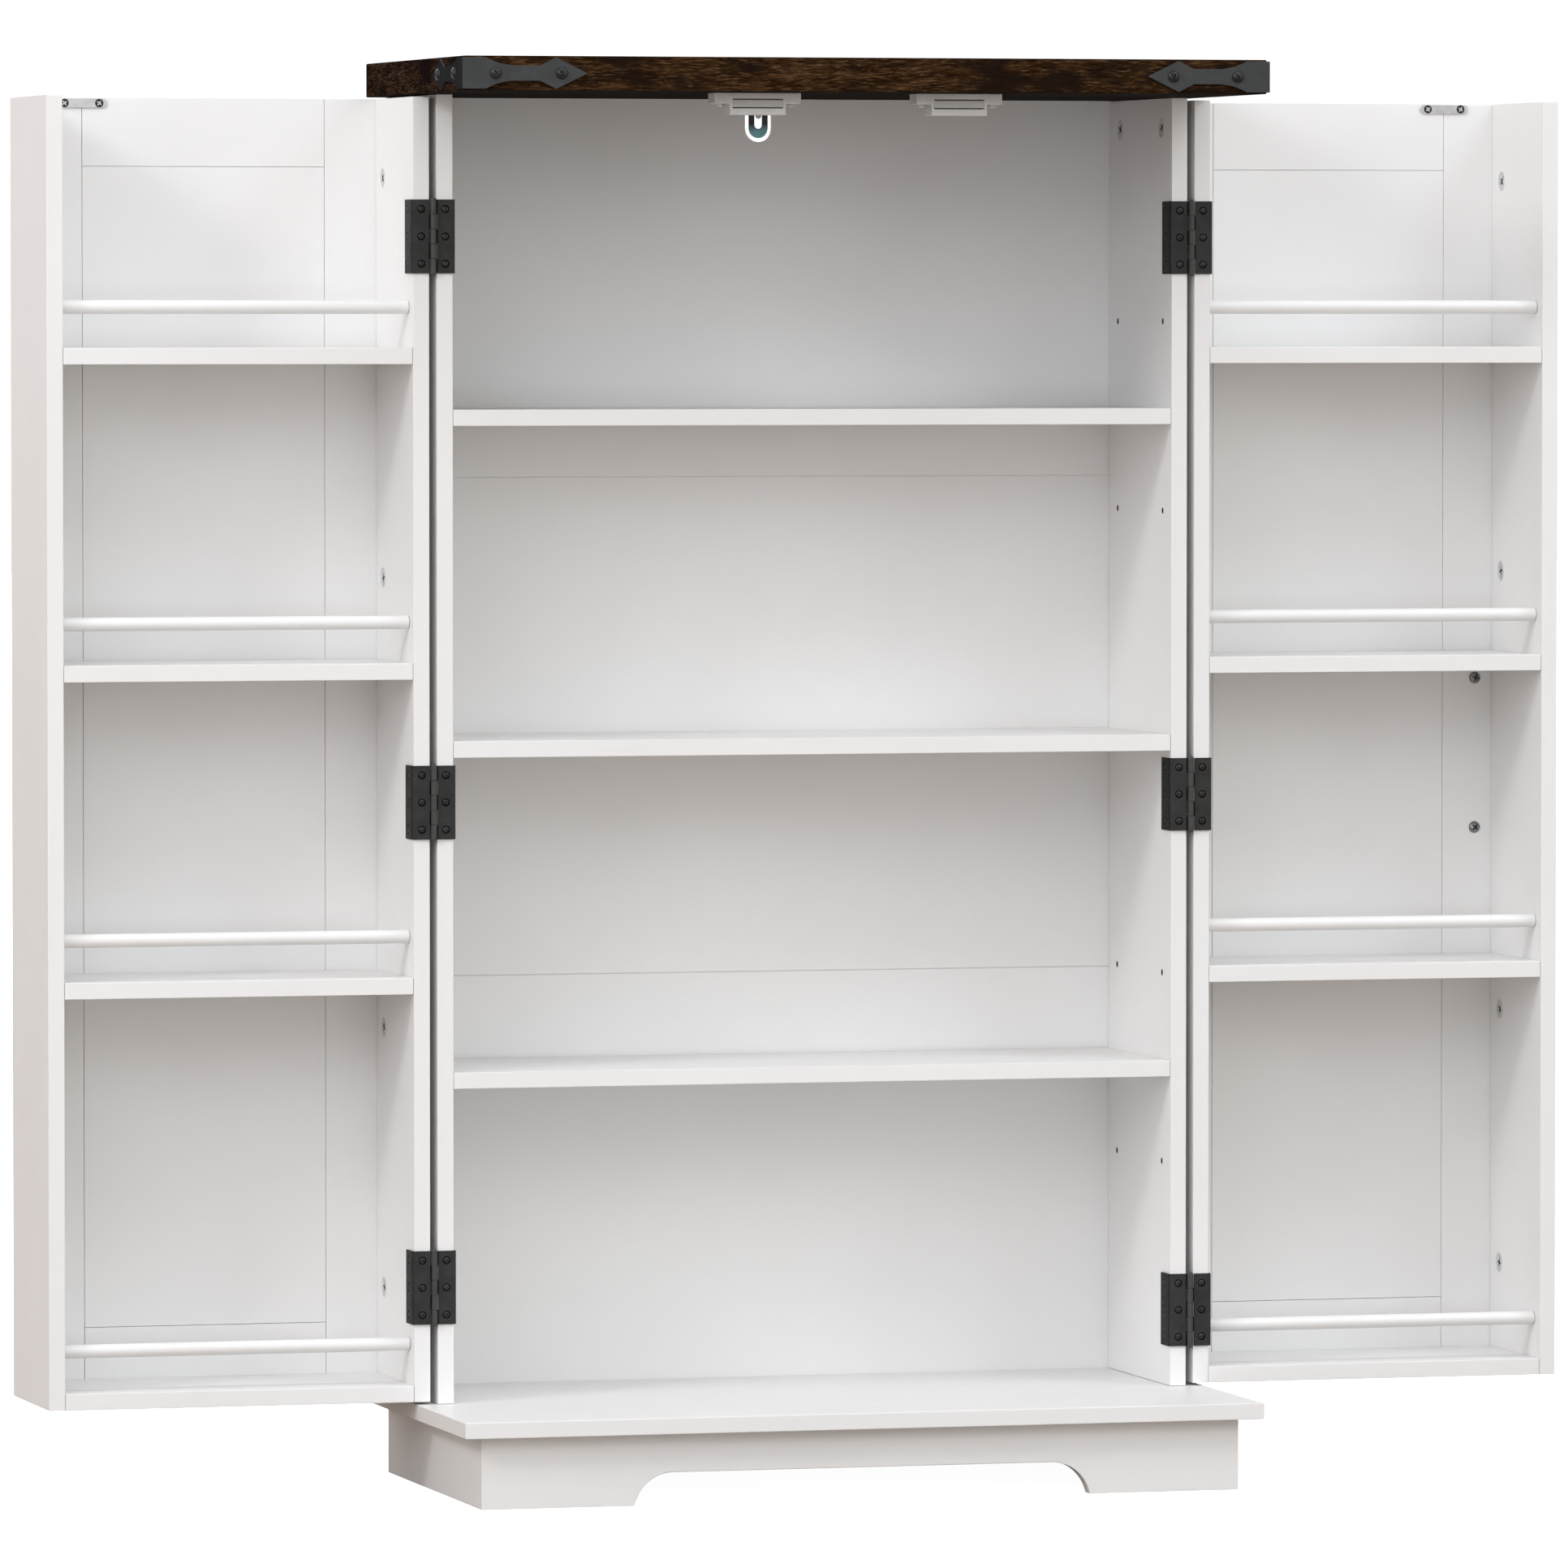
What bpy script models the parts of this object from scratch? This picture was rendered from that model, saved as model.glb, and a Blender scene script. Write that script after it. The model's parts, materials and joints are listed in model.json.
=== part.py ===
"""A two-door pantry cabinet with storage doors, as separate boards, rods, hinges and fittings.

Metres, +Z up. The front faces -Y, and the origin is on the floor under the middle of the whole.
At rest both doors stand fully open, 180 degrees from closed, so that their front edges lie in
the plane of the carcass's front edges. Each door's pieces hang from an empty on its hinge axis.
"""

from math import asin, cos, pi, radians, sin

import bmesh
import bpy
from mathutils import Matrix, Vector

# Whole object
HEIGHT = 1.050
GAP = 0.0003  # clearance between pieces that touch
BOARD = 0.012  # painted boards of the carcass, plinth, shelves and doors
FRONT_Y = -0.1538  # front edge of the top and bottom boards
BACK_Y = 0.1547  # back edge of the top and bottom boards and of the sides
BODY_FRONT_Y = -0.0058  # front edges of sides, shelves and open doors

# Top, bottom and plinth
TOP_WIDTH = 0.604
TOP_THICK = 0.025
BOTTOM_WIDTH = 0.604
PLINTH_HEIGHT = 0.053
PLINTH_WIDTH = 0.573
PLINTH_FRONT_Y = -0.1388
ARCH_HEIGHT = 0.024
ARCH_RADIUS = 0.030
ARCH_FLAT_HALF = 0.143  # half the straight length along the top of the arch

# Carcass
SIDE_OUTER_X = 0.2868
SHELF_Z = {"lower": 0.2965, "middle": 0.5395, "upper": 0.7823}  # undersides
SHELF_BACK_CLEARANCE = 0.0015  # a loose shelf stops short of the back
BACK_THICK = 0.003
BACK_HALF_WIDTH = 0.2855
BACK_SEAMS_Z = (0.3705, 0.7425)
BACK_OVERLAP = 0.0085  # how far the back covers the rear edges of the top and bottom boards
NOTCH_WIDTH = 0.0206
NOTCH_LOW_Z = 0.993

# Shelf pins and cam fittings
PIN_RADIUS = 0.0025
PIN_DEPTH = 0.008
PIN_ROW_STEP = 0.0705
PIN_Y = (0.0170, 0.1328)
CAM_RADIUS = 0.0075
CAM_DEPTH = 0.0095
TOP_CAM_Y = (0.0212, 0.1277)
TOP_CAM_Z = 1.003
DOOR_CAM_Z = (0.144, 0.337, 0.6695, 0.9645)
DOOR_CAM_FROM_PANEL = 0.021

# Doors, as they stand at rest
DOOR_INNER_X = 0.2926  # outer face of the hinge wall
DOOR_WIDTH = 0.2849
DOOR_LOW_Z = 0.067
DOOR_HIGH_Z = 1.023
DOOR_WALL_DEPTH = 0.1177
STILE_WIDTH = 0.051
RAIL_HEIGHT = 0.050
PANEL_THICK = 0.006
REBATE_LIP = 0.006  # outer lip of the frame that holds the panel
DOOR_SHELF_Z = {"lower": 0.3665, "middle": 0.597, "upper": 0.8277}  # undersides
ROD_RADIUS = 0.005
ROD_ABOVE_SHELF = 0.030
ROD_FROM_FRONT = 0.016
SPIGOT_RADIUS = 0.0025
SPIGOT_LENGTH = 0.006

# Hinges
HINGE_HEIGHT = 0.054
HINGE_Z = {"upper": 0.921, "middle": 0.507}
LOWEST_HINGE_Z = {"left": 0.151, "right": 0.122}
LEAF_THICK = 0.0012
LEAF_WRAP = 0.021  # how far a leaf reaches along the board's inner face
KNUCKLE_RADIUS = 0.0024
KNUCKLES = 5
HINGE_PIN_RADIUS = 0.0012
HINGE_BORE_RADIUS = 0.0015
HINGE_TIP_RADIUS = 0.0021
HINGE_TIP_HEIGHT = 0.0016
AXIS_X = (SIDE_OUTER_X + DOOR_INNER_X) / 2
LEAF_FRONT_Y = GAP  # a leaf's front face stands this far behind the axis
AXIS_Y = BODY_FRONT_Y - GAP - LEAF_THICK - LEAF_FRONT_Y

# Metal and plastic fittings
BRACKET_THICK = 0.0015
BRACKET_HALF_HEIGHT = 0.0113
BRACKET_FULL_LENGTH = 0.0175
BRACKET_NECK_HALF = 0.0055
BRACKET_NECK = (0.040, 0.058)
BRACKET_BARB = 0.0695
BRACKET_TIP = 0.093
BRACKET_SCREWS = (0.0247, 0.0737)  # how far the screws stand from the corner
SCREW_HEAD_RADIUS = 0.00435
SCREW_HEAD_HEIGHT = 0.0024
CATCH_X = 0.076
CATCH_EAR_SIZE = (0.065, 0.0185, 0.0078)
CATCH_BODY_SIZE = (0.042, 0.0185, 0.016)
STRIKE_X = 0.5265
STRIKE_LENGTH = 0.038
STRIKE_HEIGHT = 0.007
STRIKE_THICK = 0.001
TIP_BRACKET_WIDTH = 0.0147
TIP_BRACKET_LOW_Z = 0.996
TIP_BRACKET_THICK = 0.0015
TIP_BRACKET_LEG = 0.026
TIP_SLOT_RADIUS = 0.003
TIP_SLOT_Z = (1.006, 1.015)  # centres of the slot's round ends
HANDLE_FROM_EDGE = 0.0253
HANDLE_Z = 0.5313
HANDLE_SPACING = 0.1137
HANDLE_RADIUS = 0.005
HANDLE_REACH = 0.030
HANDLE_BEND = 0.012
HANDLE_FOOT_RADIUS = 0.008
HANDLE_FOOT_THICK = 0.003

TOP_LOW_Z = HEIGHT - TOP_THICK
BODY_LOW_Z = PLINTH_HEIGHT + BOARD
SIDE_INNER_X = SIDE_OUTER_X - BOARD
DOOR_OUTER_X = DOOR_INNER_X + DOOR_WIDTH
DOOR_PANEL_Y = BODY_FRONT_Y + DOOR_WALL_DEPTH + GAP  # inner face of frame and panel
SIDES = {"left": -1, "right": 1}
ALONG_X = Matrix.Rotation(pi / 2, 3, "Y")  # carries +Z to the axis of a row of pegs
ALONG_Y = Matrix.Rotation(pi / 2, 3, "X")
STANDING = (pi / 2, 0, 0)  # an outline's x and y become world X and Z
STANDING_SIDEWAYS = (pi / 2, 0, pi / 2)  # an outline's x and y become world Y and Z
SMALL_ROUND = 12
LARGE_ROUND = 16
WELD = 1e-6


def clear_scene():
    for obj in list(bpy.data.objects):
        bpy.data.objects.remove(obj)


def new_collection(name):
    collection = bpy.data.collections.new(name)
    bpy.context.scene.collection.children.link(collection)
    return collection


def new_material(name, colour, roughness, metallic=0.0):
    material = bpy.data.materials.new(name)
    material.use_nodes = True
    shader = material.node_tree.nodes["Principled BSDF"]
    shader.inputs["Base Color"].default_value = (*colour, 1.0)
    shader.inputs["Roughness"].default_value = roughness
    shader.inputs["Metallic"].default_value = metallic
    material.diffuse_color = (*colour, 1.0)
    return material


clear_scene()
PARTS = new_collection("pantry_cabinet")
CUTTERS = new_collection("cutters")
WHITE_PAINT = new_material("white_paint", (0.87, 0.865, 0.85), 0.42)
RUSTIC_WOOD = new_material("rustic_wood", (0.060, 0.030, 0.016), 0.55)
BLACK_METAL = new_material("black_metal", (0.018, 0.017, 0.016), 0.45, 0.6)
SLATE_METAL = new_material("slate_metal", (0.060, 0.064, 0.067), 0.50, 0.6)
CATCH_PLASTIC = new_material("catch_plastic", (0.72, 0.72, 0.72), 0.40)
STEEL = new_material("steel", (0.56, 0.57, 0.58), 0.32, 1.0)


# Shapes


def add_part(name, mesh, material, centre, turn=(0, 0, 0), parent=None, smooth=False):
    """A named piece with its mesh's origin at a world position."""
    piece = bpy.data.objects.new(name, mesh)
    PARTS.objects.link(piece)
    if not mesh.materials:
        mesh.materials.append(material)
    piece.parent = parent
    piece.location = Vector(centre) - (parent.location if parent else Vector())
    piece.rotation_euler = turn
    if smooth:
        mesh.shade_smooth()
        mesh.set_sharp_from_angle(angle=radians(35))
    return piece


def add_helper(name, mesh, centre=(0, 0, 0), turn=(0, 0, 0)):
    """A solid that only takes part in Booleans."""
    helper = bpy.data.objects.new(name, mesh)
    CUTTERS.objects.link(helper)
    helper.location = centre
    helper.rotation_euler = turn
    helper.hide_render = True
    helper.display_type = "WIRE"
    return helper


def combine(piece, helper, operation="DIFFERENCE"):
    modifier = piece.modifiers.new(f"{operation.lower()}_{helper.name}", "BOOLEAN")
    modifier.operation = operation
    modifier.object = helper


def boxes_mesh(name, boxes):
    """Boxes that don't touch, each given by its (low, high) along X, Y and Z."""
    shape = bmesh.new()
    for spans in boxes:
        low = Vector(min(span) for span in spans)
        high = Vector(max(span) for span in spans)
        corners = bmesh.ops.create_cube(shape, size=1)["verts"]
        bmesh.ops.scale(shape, vec=high - low, verts=corners)
        bmesh.ops.translate(shape, vec=(low + high) / 2, verts=corners)
    mesh = bpy.data.meshes.new(name)
    shape.to_mesh(mesh)
    shape.free()
    return mesh


def board(name, x, y, z, material=WHITE_PAINT, parent=None):
    """A square-edged board that fills three spans, with its origin at its middle."""
    spans = [sorted(span) for span in (x, y, z)]
    centre = Vector((low + high) / 2 for low, high in spans)
    local = [(low - middle, high - middle) for (low, high), middle in zip(spans, centre)]
    return add_part(name, boxes_mesh(name, [local]), material, centre, parent=parent)


def pegs_mesh(name, centres, radius, length, turn, sides=SMALL_ROUND):
    """Cylinders of one size along one axis, which turn carries +Z to."""
    shape = bmesh.new()
    for centre in centres:
        verts = bmesh.ops.create_cone(
            shape, cap_ends=True, segments=sides, radius1=radius, radius2=radius, depth=length
        )["verts"]
        bmesh.ops.rotate(shape, matrix=turn, verts=verts)
        bmesh.ops.translate(shape, vec=centre, verts=verts)
    mesh = bpy.data.meshes.new(name)
    shape.to_mesh(mesh)
    shape.free()
    return mesh


def arc(centre, radius, start, end, steps):
    """Points round a circle, from start to end in degrees."""
    angles = [radians(start + (end - start) * step / steps) for step in range(steps + 1)]
    return [(centre[0] + radius * cos(a), centre[1] + radius * sin(a)) for a in angles]


def finished_mesh(name, obj):
    """The mesh that an object's curve or modifiers make. The object is removed."""
    graph = bpy.context.evaluated_depsgraph_get()
    mesh = bpy.data.meshes.new_from_object(obj.evaluated_get(graph))
    mesh.name = name
    shape = bmesh.new()
    shape.from_mesh(mesh)
    bmesh.ops.remove_doubles(shape, verts=shape.verts, dist=WELD)
    shape.to_mesh(mesh)
    shape.free()
    bpy.data.objects.remove(obj)
    return mesh


def outline_mesh(name, points, thick):
    """A flat outline in local XY, filled and given its thickness along local Z."""
    curve = bpy.data.curves.new(name, "CURVE")
    curve.dimensions = "2D"
    curve.fill_mode = "BOTH"
    curve.extrude = thick / 2
    spline = curve.splines.new("POLY")
    spline.points.add(len(points) - 1)
    for point, (x, y) in zip(spline.points, points):
        point.co = (x, y, 0, 1)
    spline.use_cyclic_u = True
    guide = bpy.data.objects.new(name + "_outline", curve)
    CUTTERS.objects.link(guide)
    return finished_mesh(name, guide)


def turned_mesh(name, profile, sides=SMALL_ROUND):
    """A profile of (radius, height) points, top to bottom, turned about Z."""
    mesh = bpy.data.meshes.new(name + "_profile")
    points = [(radius, 0, height) for radius, height in profile]
    edges = [(index, index + 1) for index in range(len(profile) - 1)]
    mesh.from_pydata(points, edges, [])
    guide = bpy.data.objects.new(name + "_profile", mesh)
    CUTTERS.objects.link(guide)
    screw = guide.modifiers.new("turn", "SCREW")
    screw.steps = sides
    screw.render_steps = sides
    screw.use_merge_vertices = True
    screw.merge_threshold = 1e-5
    return finished_mesh(name, guide)


def slot_outline(radius, low, high):
    """A slot standing up, with round ends centred at two heights."""
    return arc((0, high), radius, 0, 180, 8) + arc((0, low), radius, 180, 360, 8)


# Carcass


def build_top_and_bottom():
    half = TOP_WIDTH / 2
    board("top_board", (-half, half), (FRONT_Y, BACK_Y), (TOP_LOW_Z, HEIGHT), RUSTIC_WOOD)
    half = BOTTOM_WIDTH / 2
    board("bottom_board", (-half, half), (FRONT_Y, BACK_Y), (PLINTH_HEIGHT, BODY_LOW_Z))


def build_plinth():
    """A front board with a low arch cut between two feet, and three plain boards behind it."""
    half = PLINTH_WIDTH / 2
    top = PLINTH_HEIGHT - GAP
    arch_low = ARCH_HEIGHT - ARCH_RADIUS
    sweep = 90 - asin(-arch_low / ARCH_RADIUS) * 180 / pi
    right = arc((ARCH_FLAT_HALF, arch_low), ARCH_RADIUS, 90, 90 - sweep, 16)
    left = [(-x, z) for x, z in reversed(right)]
    outline = [(-half, 0), *left, *right, (half, 0), (half, top), (-half, top)]
    mesh = outline_mesh("plinth_front", outline, BOARD)
    add_part("plinth_front", mesh, WHITE_PAINT, (0, PLINTH_FRONT_Y + BOARD / 2, 0), STANDING)
    side_y = (PLINTH_FRONT_Y + BOARD + GAP, BACK_Y)
    for side, sign in SIDES.items():
        board(f"plinth_{side}", (sign * (half - BOARD), sign * half), side_y, (0, top))
    inner = half - BOARD - GAP
    board("plinth_back", (-inner, inner), (BACK_Y - BOARD, BACK_Y), (0, top))


def pin_rows():
    """Heights of the pin holes: one at each loose shelf's middle, one above and one below it."""
    middles = [SHELF_Z[name] + BOARD / 2 for name in ("lower", "upper")]
    return [middle + step * PIN_ROW_STEP for middle in middles for step in (-1, 0, 1)]


def build_sides():
    """Two side boards with blind holes for shelf pins and for the top's cam fittings."""
    for side, sign in SIDES.items():
        name = f"side_{side}"
        x = (sign * SIDE_INNER_X, sign * SIDE_OUTER_X)
        piece = board(name, x, (BODY_FRONT_Y, BACK_Y), (BODY_LOW_Z + GAP, TOP_LOW_Z - GAP))
        pins = [(sign * SIDE_INNER_X, y, z) for y in PIN_Y for z in pin_rows()]
        mesh = pegs_mesh(name + "_pin_holes", pins, PIN_RADIUS, 2 * PIN_DEPTH, ALONG_X)
        combine(piece, add_helper(name + "_pin_holes", mesh))
        cams = [(sign * SIDE_INNER_X, y, TOP_CAM_Z) for y in TOP_CAM_Y]
        mesh = pegs_mesh(name + "_cam_holes", cams, CAM_RADIUS, 2 * CAM_DEPTH, ALONG_X, LARGE_ROUND)
        combine(piece, add_helper(name + "_cam_holes", mesh))


def build_shelves():
    """One fixed shelf, and two loose ones whose ends are notched to sit down over their pins."""
    half = SIDE_INNER_X - GAP
    for name, low in SHELF_Z.items():
        loose = name != "middle"
        back = BACK_Y - (SHELF_BACK_CLEARANCE if loose else 0)
        z = (low, low + BOARD)
        piece = board(f"shelf_{name}", (-half, half), (BODY_FRONT_Y, back), z)
        if not loose:
            continue
        reach = half - PIN_DEPTH - GAP
        width = PIN_RADIUS + GAP
        notch_z = (low - GAP, low + BOARD / 2 + width)
        notches = [
            ((sign * reach, sign * (half + GAP)), (y - width, y + width), notch_z)
            for sign in SIDES.values()
            for y in PIN_Y
        ]
        combine(piece, add_helper(f"shelf_{name}_notches", boxes_mesh("notches", notches)))


def build_back():
    """Three thin boards, one above another. The top one has a round-ended notch for the strap."""
    y = (BACK_Y + GAP, BACK_Y + GAP + BACK_THICK)
    top = TOP_LOW_Z + BACK_OVERLAP
    edges = [BODY_LOW_Z - BACK_OVERLAP, *BACK_SEAMS_Z, top]
    for name, low, high in zip(("lower", "middle", "upper"), edges, edges[1:]):
        x = (-BACK_HALF_WIDTH, BACK_HALF_WIDTH)
        piece = board(f"back_{name}", x, y, (low + GAP, high - GAP))
    radius = NOTCH_WIDTH / 2
    outline = slot_outline(radius, NOTCH_LOW_Z + radius, top + radius)
    mesh = outline_mesh("back_notch", outline, 4 * BACK_THICK)
    combine(piece, add_helper("back_notch", mesh, (0, y[0], 0), STANDING))


# Doors


def door_x(sign, *distances):
    """World X of distances measured outwards from the hinge wall's outer face."""
    return [sign * (DOOR_INNER_X + distance) for distance in distances]


def add_door_empty(side, sign):
    empty = bpy.data.objects.new(f"{side}_door_axis", None)
    PARTS.objects.link(empty)
    empty.location = (sign * AXIS_X, AXIS_Y, 0)
    return empty


def rod_heights():
    tops = [DOOR_LOW_Z + BOARD, *(low + BOARD for low in DOOR_SHELF_Z.values())]
    return dict(zip(("bottom", *DOOR_SHELF_Z), (top + ROD_ABOVE_SHELF - GAP for top in tops)))


def build_door_walls(side, sign, empty):
    """The box's two tall walls, drilled inside for cam fittings and for the rods' spigots."""
    y = (BODY_FRONT_Y, BODY_FRONT_Y + DOOR_WALL_DEPTH)
    z = (DOOR_LOW_Z, DOOR_HIGH_Z)
    walls = {"hinge_wall": (0, BOARD), "free_wall": (DOOR_WIDTH, DOOR_WIDTH - BOARD)}
    for wall, (outer, inner) in walls.items():
        name = f"{side}_door_{wall}"
        piece = board(name, door_x(sign, outer, inner), y, z, parent=empty)
        face = door_x(sign, inner)[0]
        cams = [(face, DOOR_PANEL_Y - DOOR_CAM_FROM_PANEL, height) for height in DOOR_CAM_Z]
        mesh = pegs_mesh(name + "_cam_holes", cams, CAM_RADIUS, 2 * CAM_DEPTH, ALONG_X, LARGE_ROUND)
        combine(piece, add_helper(name + "_cam_holes", mesh))
        rods = [(face, BODY_FRONT_Y + ROD_FROM_FRONT, height) for height in rod_heights().values()]
        depth = 2 * (SPIGOT_LENGTH + GAP)
        mesh = pegs_mesh(name + "_rod_holes", rods, SPIGOT_RADIUS + GAP, depth, ALONG_X)
        combine(piece, add_helper(name + "_rod_holes", mesh))


def build_door_front(side, sign, empty):
    """A flat frame planted on the walls, and a thin panel let into it, flush on the inside."""
    y = (DOOR_PANEL_Y, DOOR_PANEL_Y + BOARD)
    z = (DOOR_LOW_Z, DOOR_HIGH_Z)
    frame = board(f"{side}_door_frame", door_x(sign, 0, DOOR_WIDTH), y, z, parent=empty)
    inset = {"rebate": 0, "window": REBATE_LIP}
    for name, lip in inset.items():
        x = door_x(sign, STILE_WIDTH + lip, DOOR_WIDTH - STILE_WIDTH - lip)
        height = (z[0] + RAIL_HEIGHT + lip, z[1] - RAIL_HEIGHT - lip)
        depth = (y[0] - GAP, y[0] + PANEL_THICK + GAP if name == "rebate" else y[1] + GAP)
        mesh = boxes_mesh(name, [(x, depth, height)])
        combine(frame, add_helper(f"{side}_door_{name}", mesh))
    x = door_x(sign, STILE_WIDTH + GAP, DOOR_WIDTH - STILE_WIDTH - GAP)
    height = (z[0] + RAIL_HEIGHT + GAP, z[1] - RAIL_HEIGHT - GAP)
    board(f"{side}_door_panel", x, (y[0], y[0] + PANEL_THICK), height, parent=empty)


def build_door_shelves(side, sign, empty):
    x = door_x(sign, BOARD + GAP, DOOR_WIDTH - BOARD - GAP)
    y = (BODY_FRONT_Y, DOOR_PANEL_Y - GAP)
    for name, low in {"bottom": DOOR_LOW_Z, **DOOR_SHELF_Z}.items():
        board(f"{side}_door_shelf_{name}", x, y, (low, low + BOARD), parent=empty)


def rod_profile(hinge_end, hinge_spigot):
    """Half outline of a rod along Z, from its free end down to its hinge end."""
    free = DOOR_WIDTH - BOARD - GAP
    ends = [(0, free + SPIGOT_LENGTH), (SPIGOT_RADIUS, free + SPIGOT_LENGTH), (SPIGOT_RADIUS, free)]
    ends += [(ROD_RADIUS, free), (ROD_RADIUS, hinge_end)]
    if hinge_spigot:
        tip = hinge_end - SPIGOT_LENGTH
        ends += [(SPIGOT_RADIUS, hinge_end), (SPIGOT_RADIUS, tip), (0, tip)]
    else:
        ends.append((0, hinge_end))
    return ends


def build_rods(side, sign, empty):
    """Round guard rods. One whose end meets a hinge leaf stops short of it, with no spigot."""
    lowest = LOWEST_HINGE_Z[side]
    for name, height in rod_heights().items():
        blocked = abs(height - lowest) < HINGE_HEIGHT / 2 + ROD_RADIUS
        hinge_end = BOARD + GAP + (LEAF_THICK + GAP if blocked else 0)
        mesh = turned_mesh(f"{side}_door_rod_{name}", rod_profile(hinge_end, not blocked))
        centre = (sign * DOOR_INNER_X, BODY_FRONT_Y + ROD_FROM_FRONT, height)
        turn = (0, sign * pi / 2, 0)
        add_part(f"{side}_door_rod_{name}", mesh, WHITE_PAINT, centre, turn, empty, smooth=True)


def handle_path():
    """The middle line of the pull: out from one foot, along, and back to the other."""
    half = HANDLE_SPACING / 2
    out = HANDLE_REACH - HANDLE_RADIUS
    upper = arc((out - HANDLE_BEND, half - HANDLE_BEND), HANDLE_BEND, 90, 0, 4)
    lower = [(y, -z) for y, z in reversed(upper)]
    foot = HANDLE_FOOT_THICK / 2
    return [(foot, half), *upper, *lower, (foot, -half)]


def build_handle(side, sign, empty):
    """A round bar pull on the door's outer face, with a collar at each foot."""
    name = f"{side}_door_handle"
    curve = bpy.data.curves.new(name, "CURVE")
    curve.dimensions = "3D"
    curve.bevel_depth = HANDLE_RADIUS
    curve.bevel_resolution = 3
    curve.use_fill_caps = True
    points = handle_path()
    spline = curve.splines.new("POLY")
    spline.points.add(len(points) - 1)
    for point, (y, z) in zip(spline.points, points):
        point.co = (0, y, z, 1)
    guide = bpy.data.objects.new(name + "_path", curve)
    CUTTERS.objects.link(guide)
    mesh = finished_mesh(name, guide)
    centre = Vector((sign * (DOOR_OUTER_X - HANDLE_FROM_EDGE), DOOR_PANEL_Y + BOARD + GAP, HANDLE_Z))
    piece = add_part(name, mesh, BLACK_METAL, centre, parent=empty, smooth=True)
    feet = [
        (centre.x, centre.y + HANDLE_FOOT_THICK / 2, centre.z + step * HANDLE_SPACING / 2)
        for step in (-1, 1)
    ]
    mesh = pegs_mesh(name + "_feet", feet, HANDLE_FOOT_RADIUS, HANDLE_FOOT_THICK, ALONG_Y, LARGE_ROUND)
    combine(piece, add_helper(name + "_feet", mesh), "UNION")


def build_strike_plate(side, sign, empty):
    """A small steel plate with round ends, at the top of the door's inner face."""
    radius = STRIKE_HEIGHT / 2
    run = STRIKE_LENGTH / 2 - radius
    outline = arc((run, 0), radius, -90, 90, 6) + arc((-run, 0), radius, 90, 270, 6)
    mesh = outline_mesh(f"{side}_door_strike_plate", outline, STRIKE_THICK)
    y = DOOR_PANEL_Y - GAP - STRIKE_THICK / 2
    centre = (sign * STRIKE_X, y, DOOR_HIGH_Z - GAP - radius)
    add_part(f"{side}_door_strike_plate", mesh, STEEL, centre, STANDING, empty)


# Hinges


def knuckle_spans():
    """Low and high of each knuckle, bottom to top, about the hinge's middle."""
    step = HINGE_HEIGHT / KNUCKLES
    lows = [index * step - HINGE_HEIGHT / 2 for index in range(KNUCKLES)]
    return [(low + GAP / 2, low + step - GAP / 2) for low in lows]


def leaf_outline(direction):
    """An angle section in plan, from the gap, over the board's edge and along its inner face."""
    near = DOOR_INNER_X - AXIS_X
    far = near + BOARD + GAP
    outer = far + LEAF_THICK
    edge = LEAF_FRONT_Y + LEAF_THICK
    back = LEAF_FRONT_Y + LEAF_WRAP
    points = [(near, LEAF_FRONT_Y), (outer, LEAF_FRONT_Y), (outer, back), (far, back)]
    points += [(far, edge), (near, edge)]
    return [(direction * x, y) for x, y in points]


def fixed_knuckle_profile():
    """The pin with its domed tips, and the knuckles that are fixed to it, top to bottom."""
    profile = [(0, HINGE_HEIGHT / 2 + HINGE_TIP_HEIGHT)]
    dome = [(sin(radians(angle)), cos(radians(angle))) for angle in (45, 90)]
    profile += [
        (HINGE_TIP_RADIUS * across, HINGE_HEIGHT / 2 + HINGE_TIP_HEIGHT * up) for across, up in dome
    ]
    for low, high in reversed(knuckle_spans()[::2]):
        profile += [(KNUCKLE_RADIUS, high), (KNUCKLE_RADIUS, low)]
        profile += [(HINGE_PIN_RADIUS, low), (HINGE_PIN_RADIUS, low - HINGE_HEIGHT / KNUCKLES)]
    profile = profile[:-2]
    profile += [
        (HINGE_TIP_RADIUS * across, -HINGE_HEIGHT / 2 - HINGE_TIP_HEIGHT * up)
        for across, up in reversed(dome)
    ]
    return profile + [(0, -HINGE_HEIGHT / 2 - HINGE_TIP_HEIGHT)]


def loose_knuckle_profile(low, high):
    """A closed ring section with room for the pin."""
    ring = [(HINGE_BORE_RADIUS, high), (KNUCKLE_RADIUS, high), (KNUCKLE_RADIUS, low)]
    return ring + [(HINGE_BORE_RADIUS, low), (HINGE_BORE_RADIUS, high)]


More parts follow.
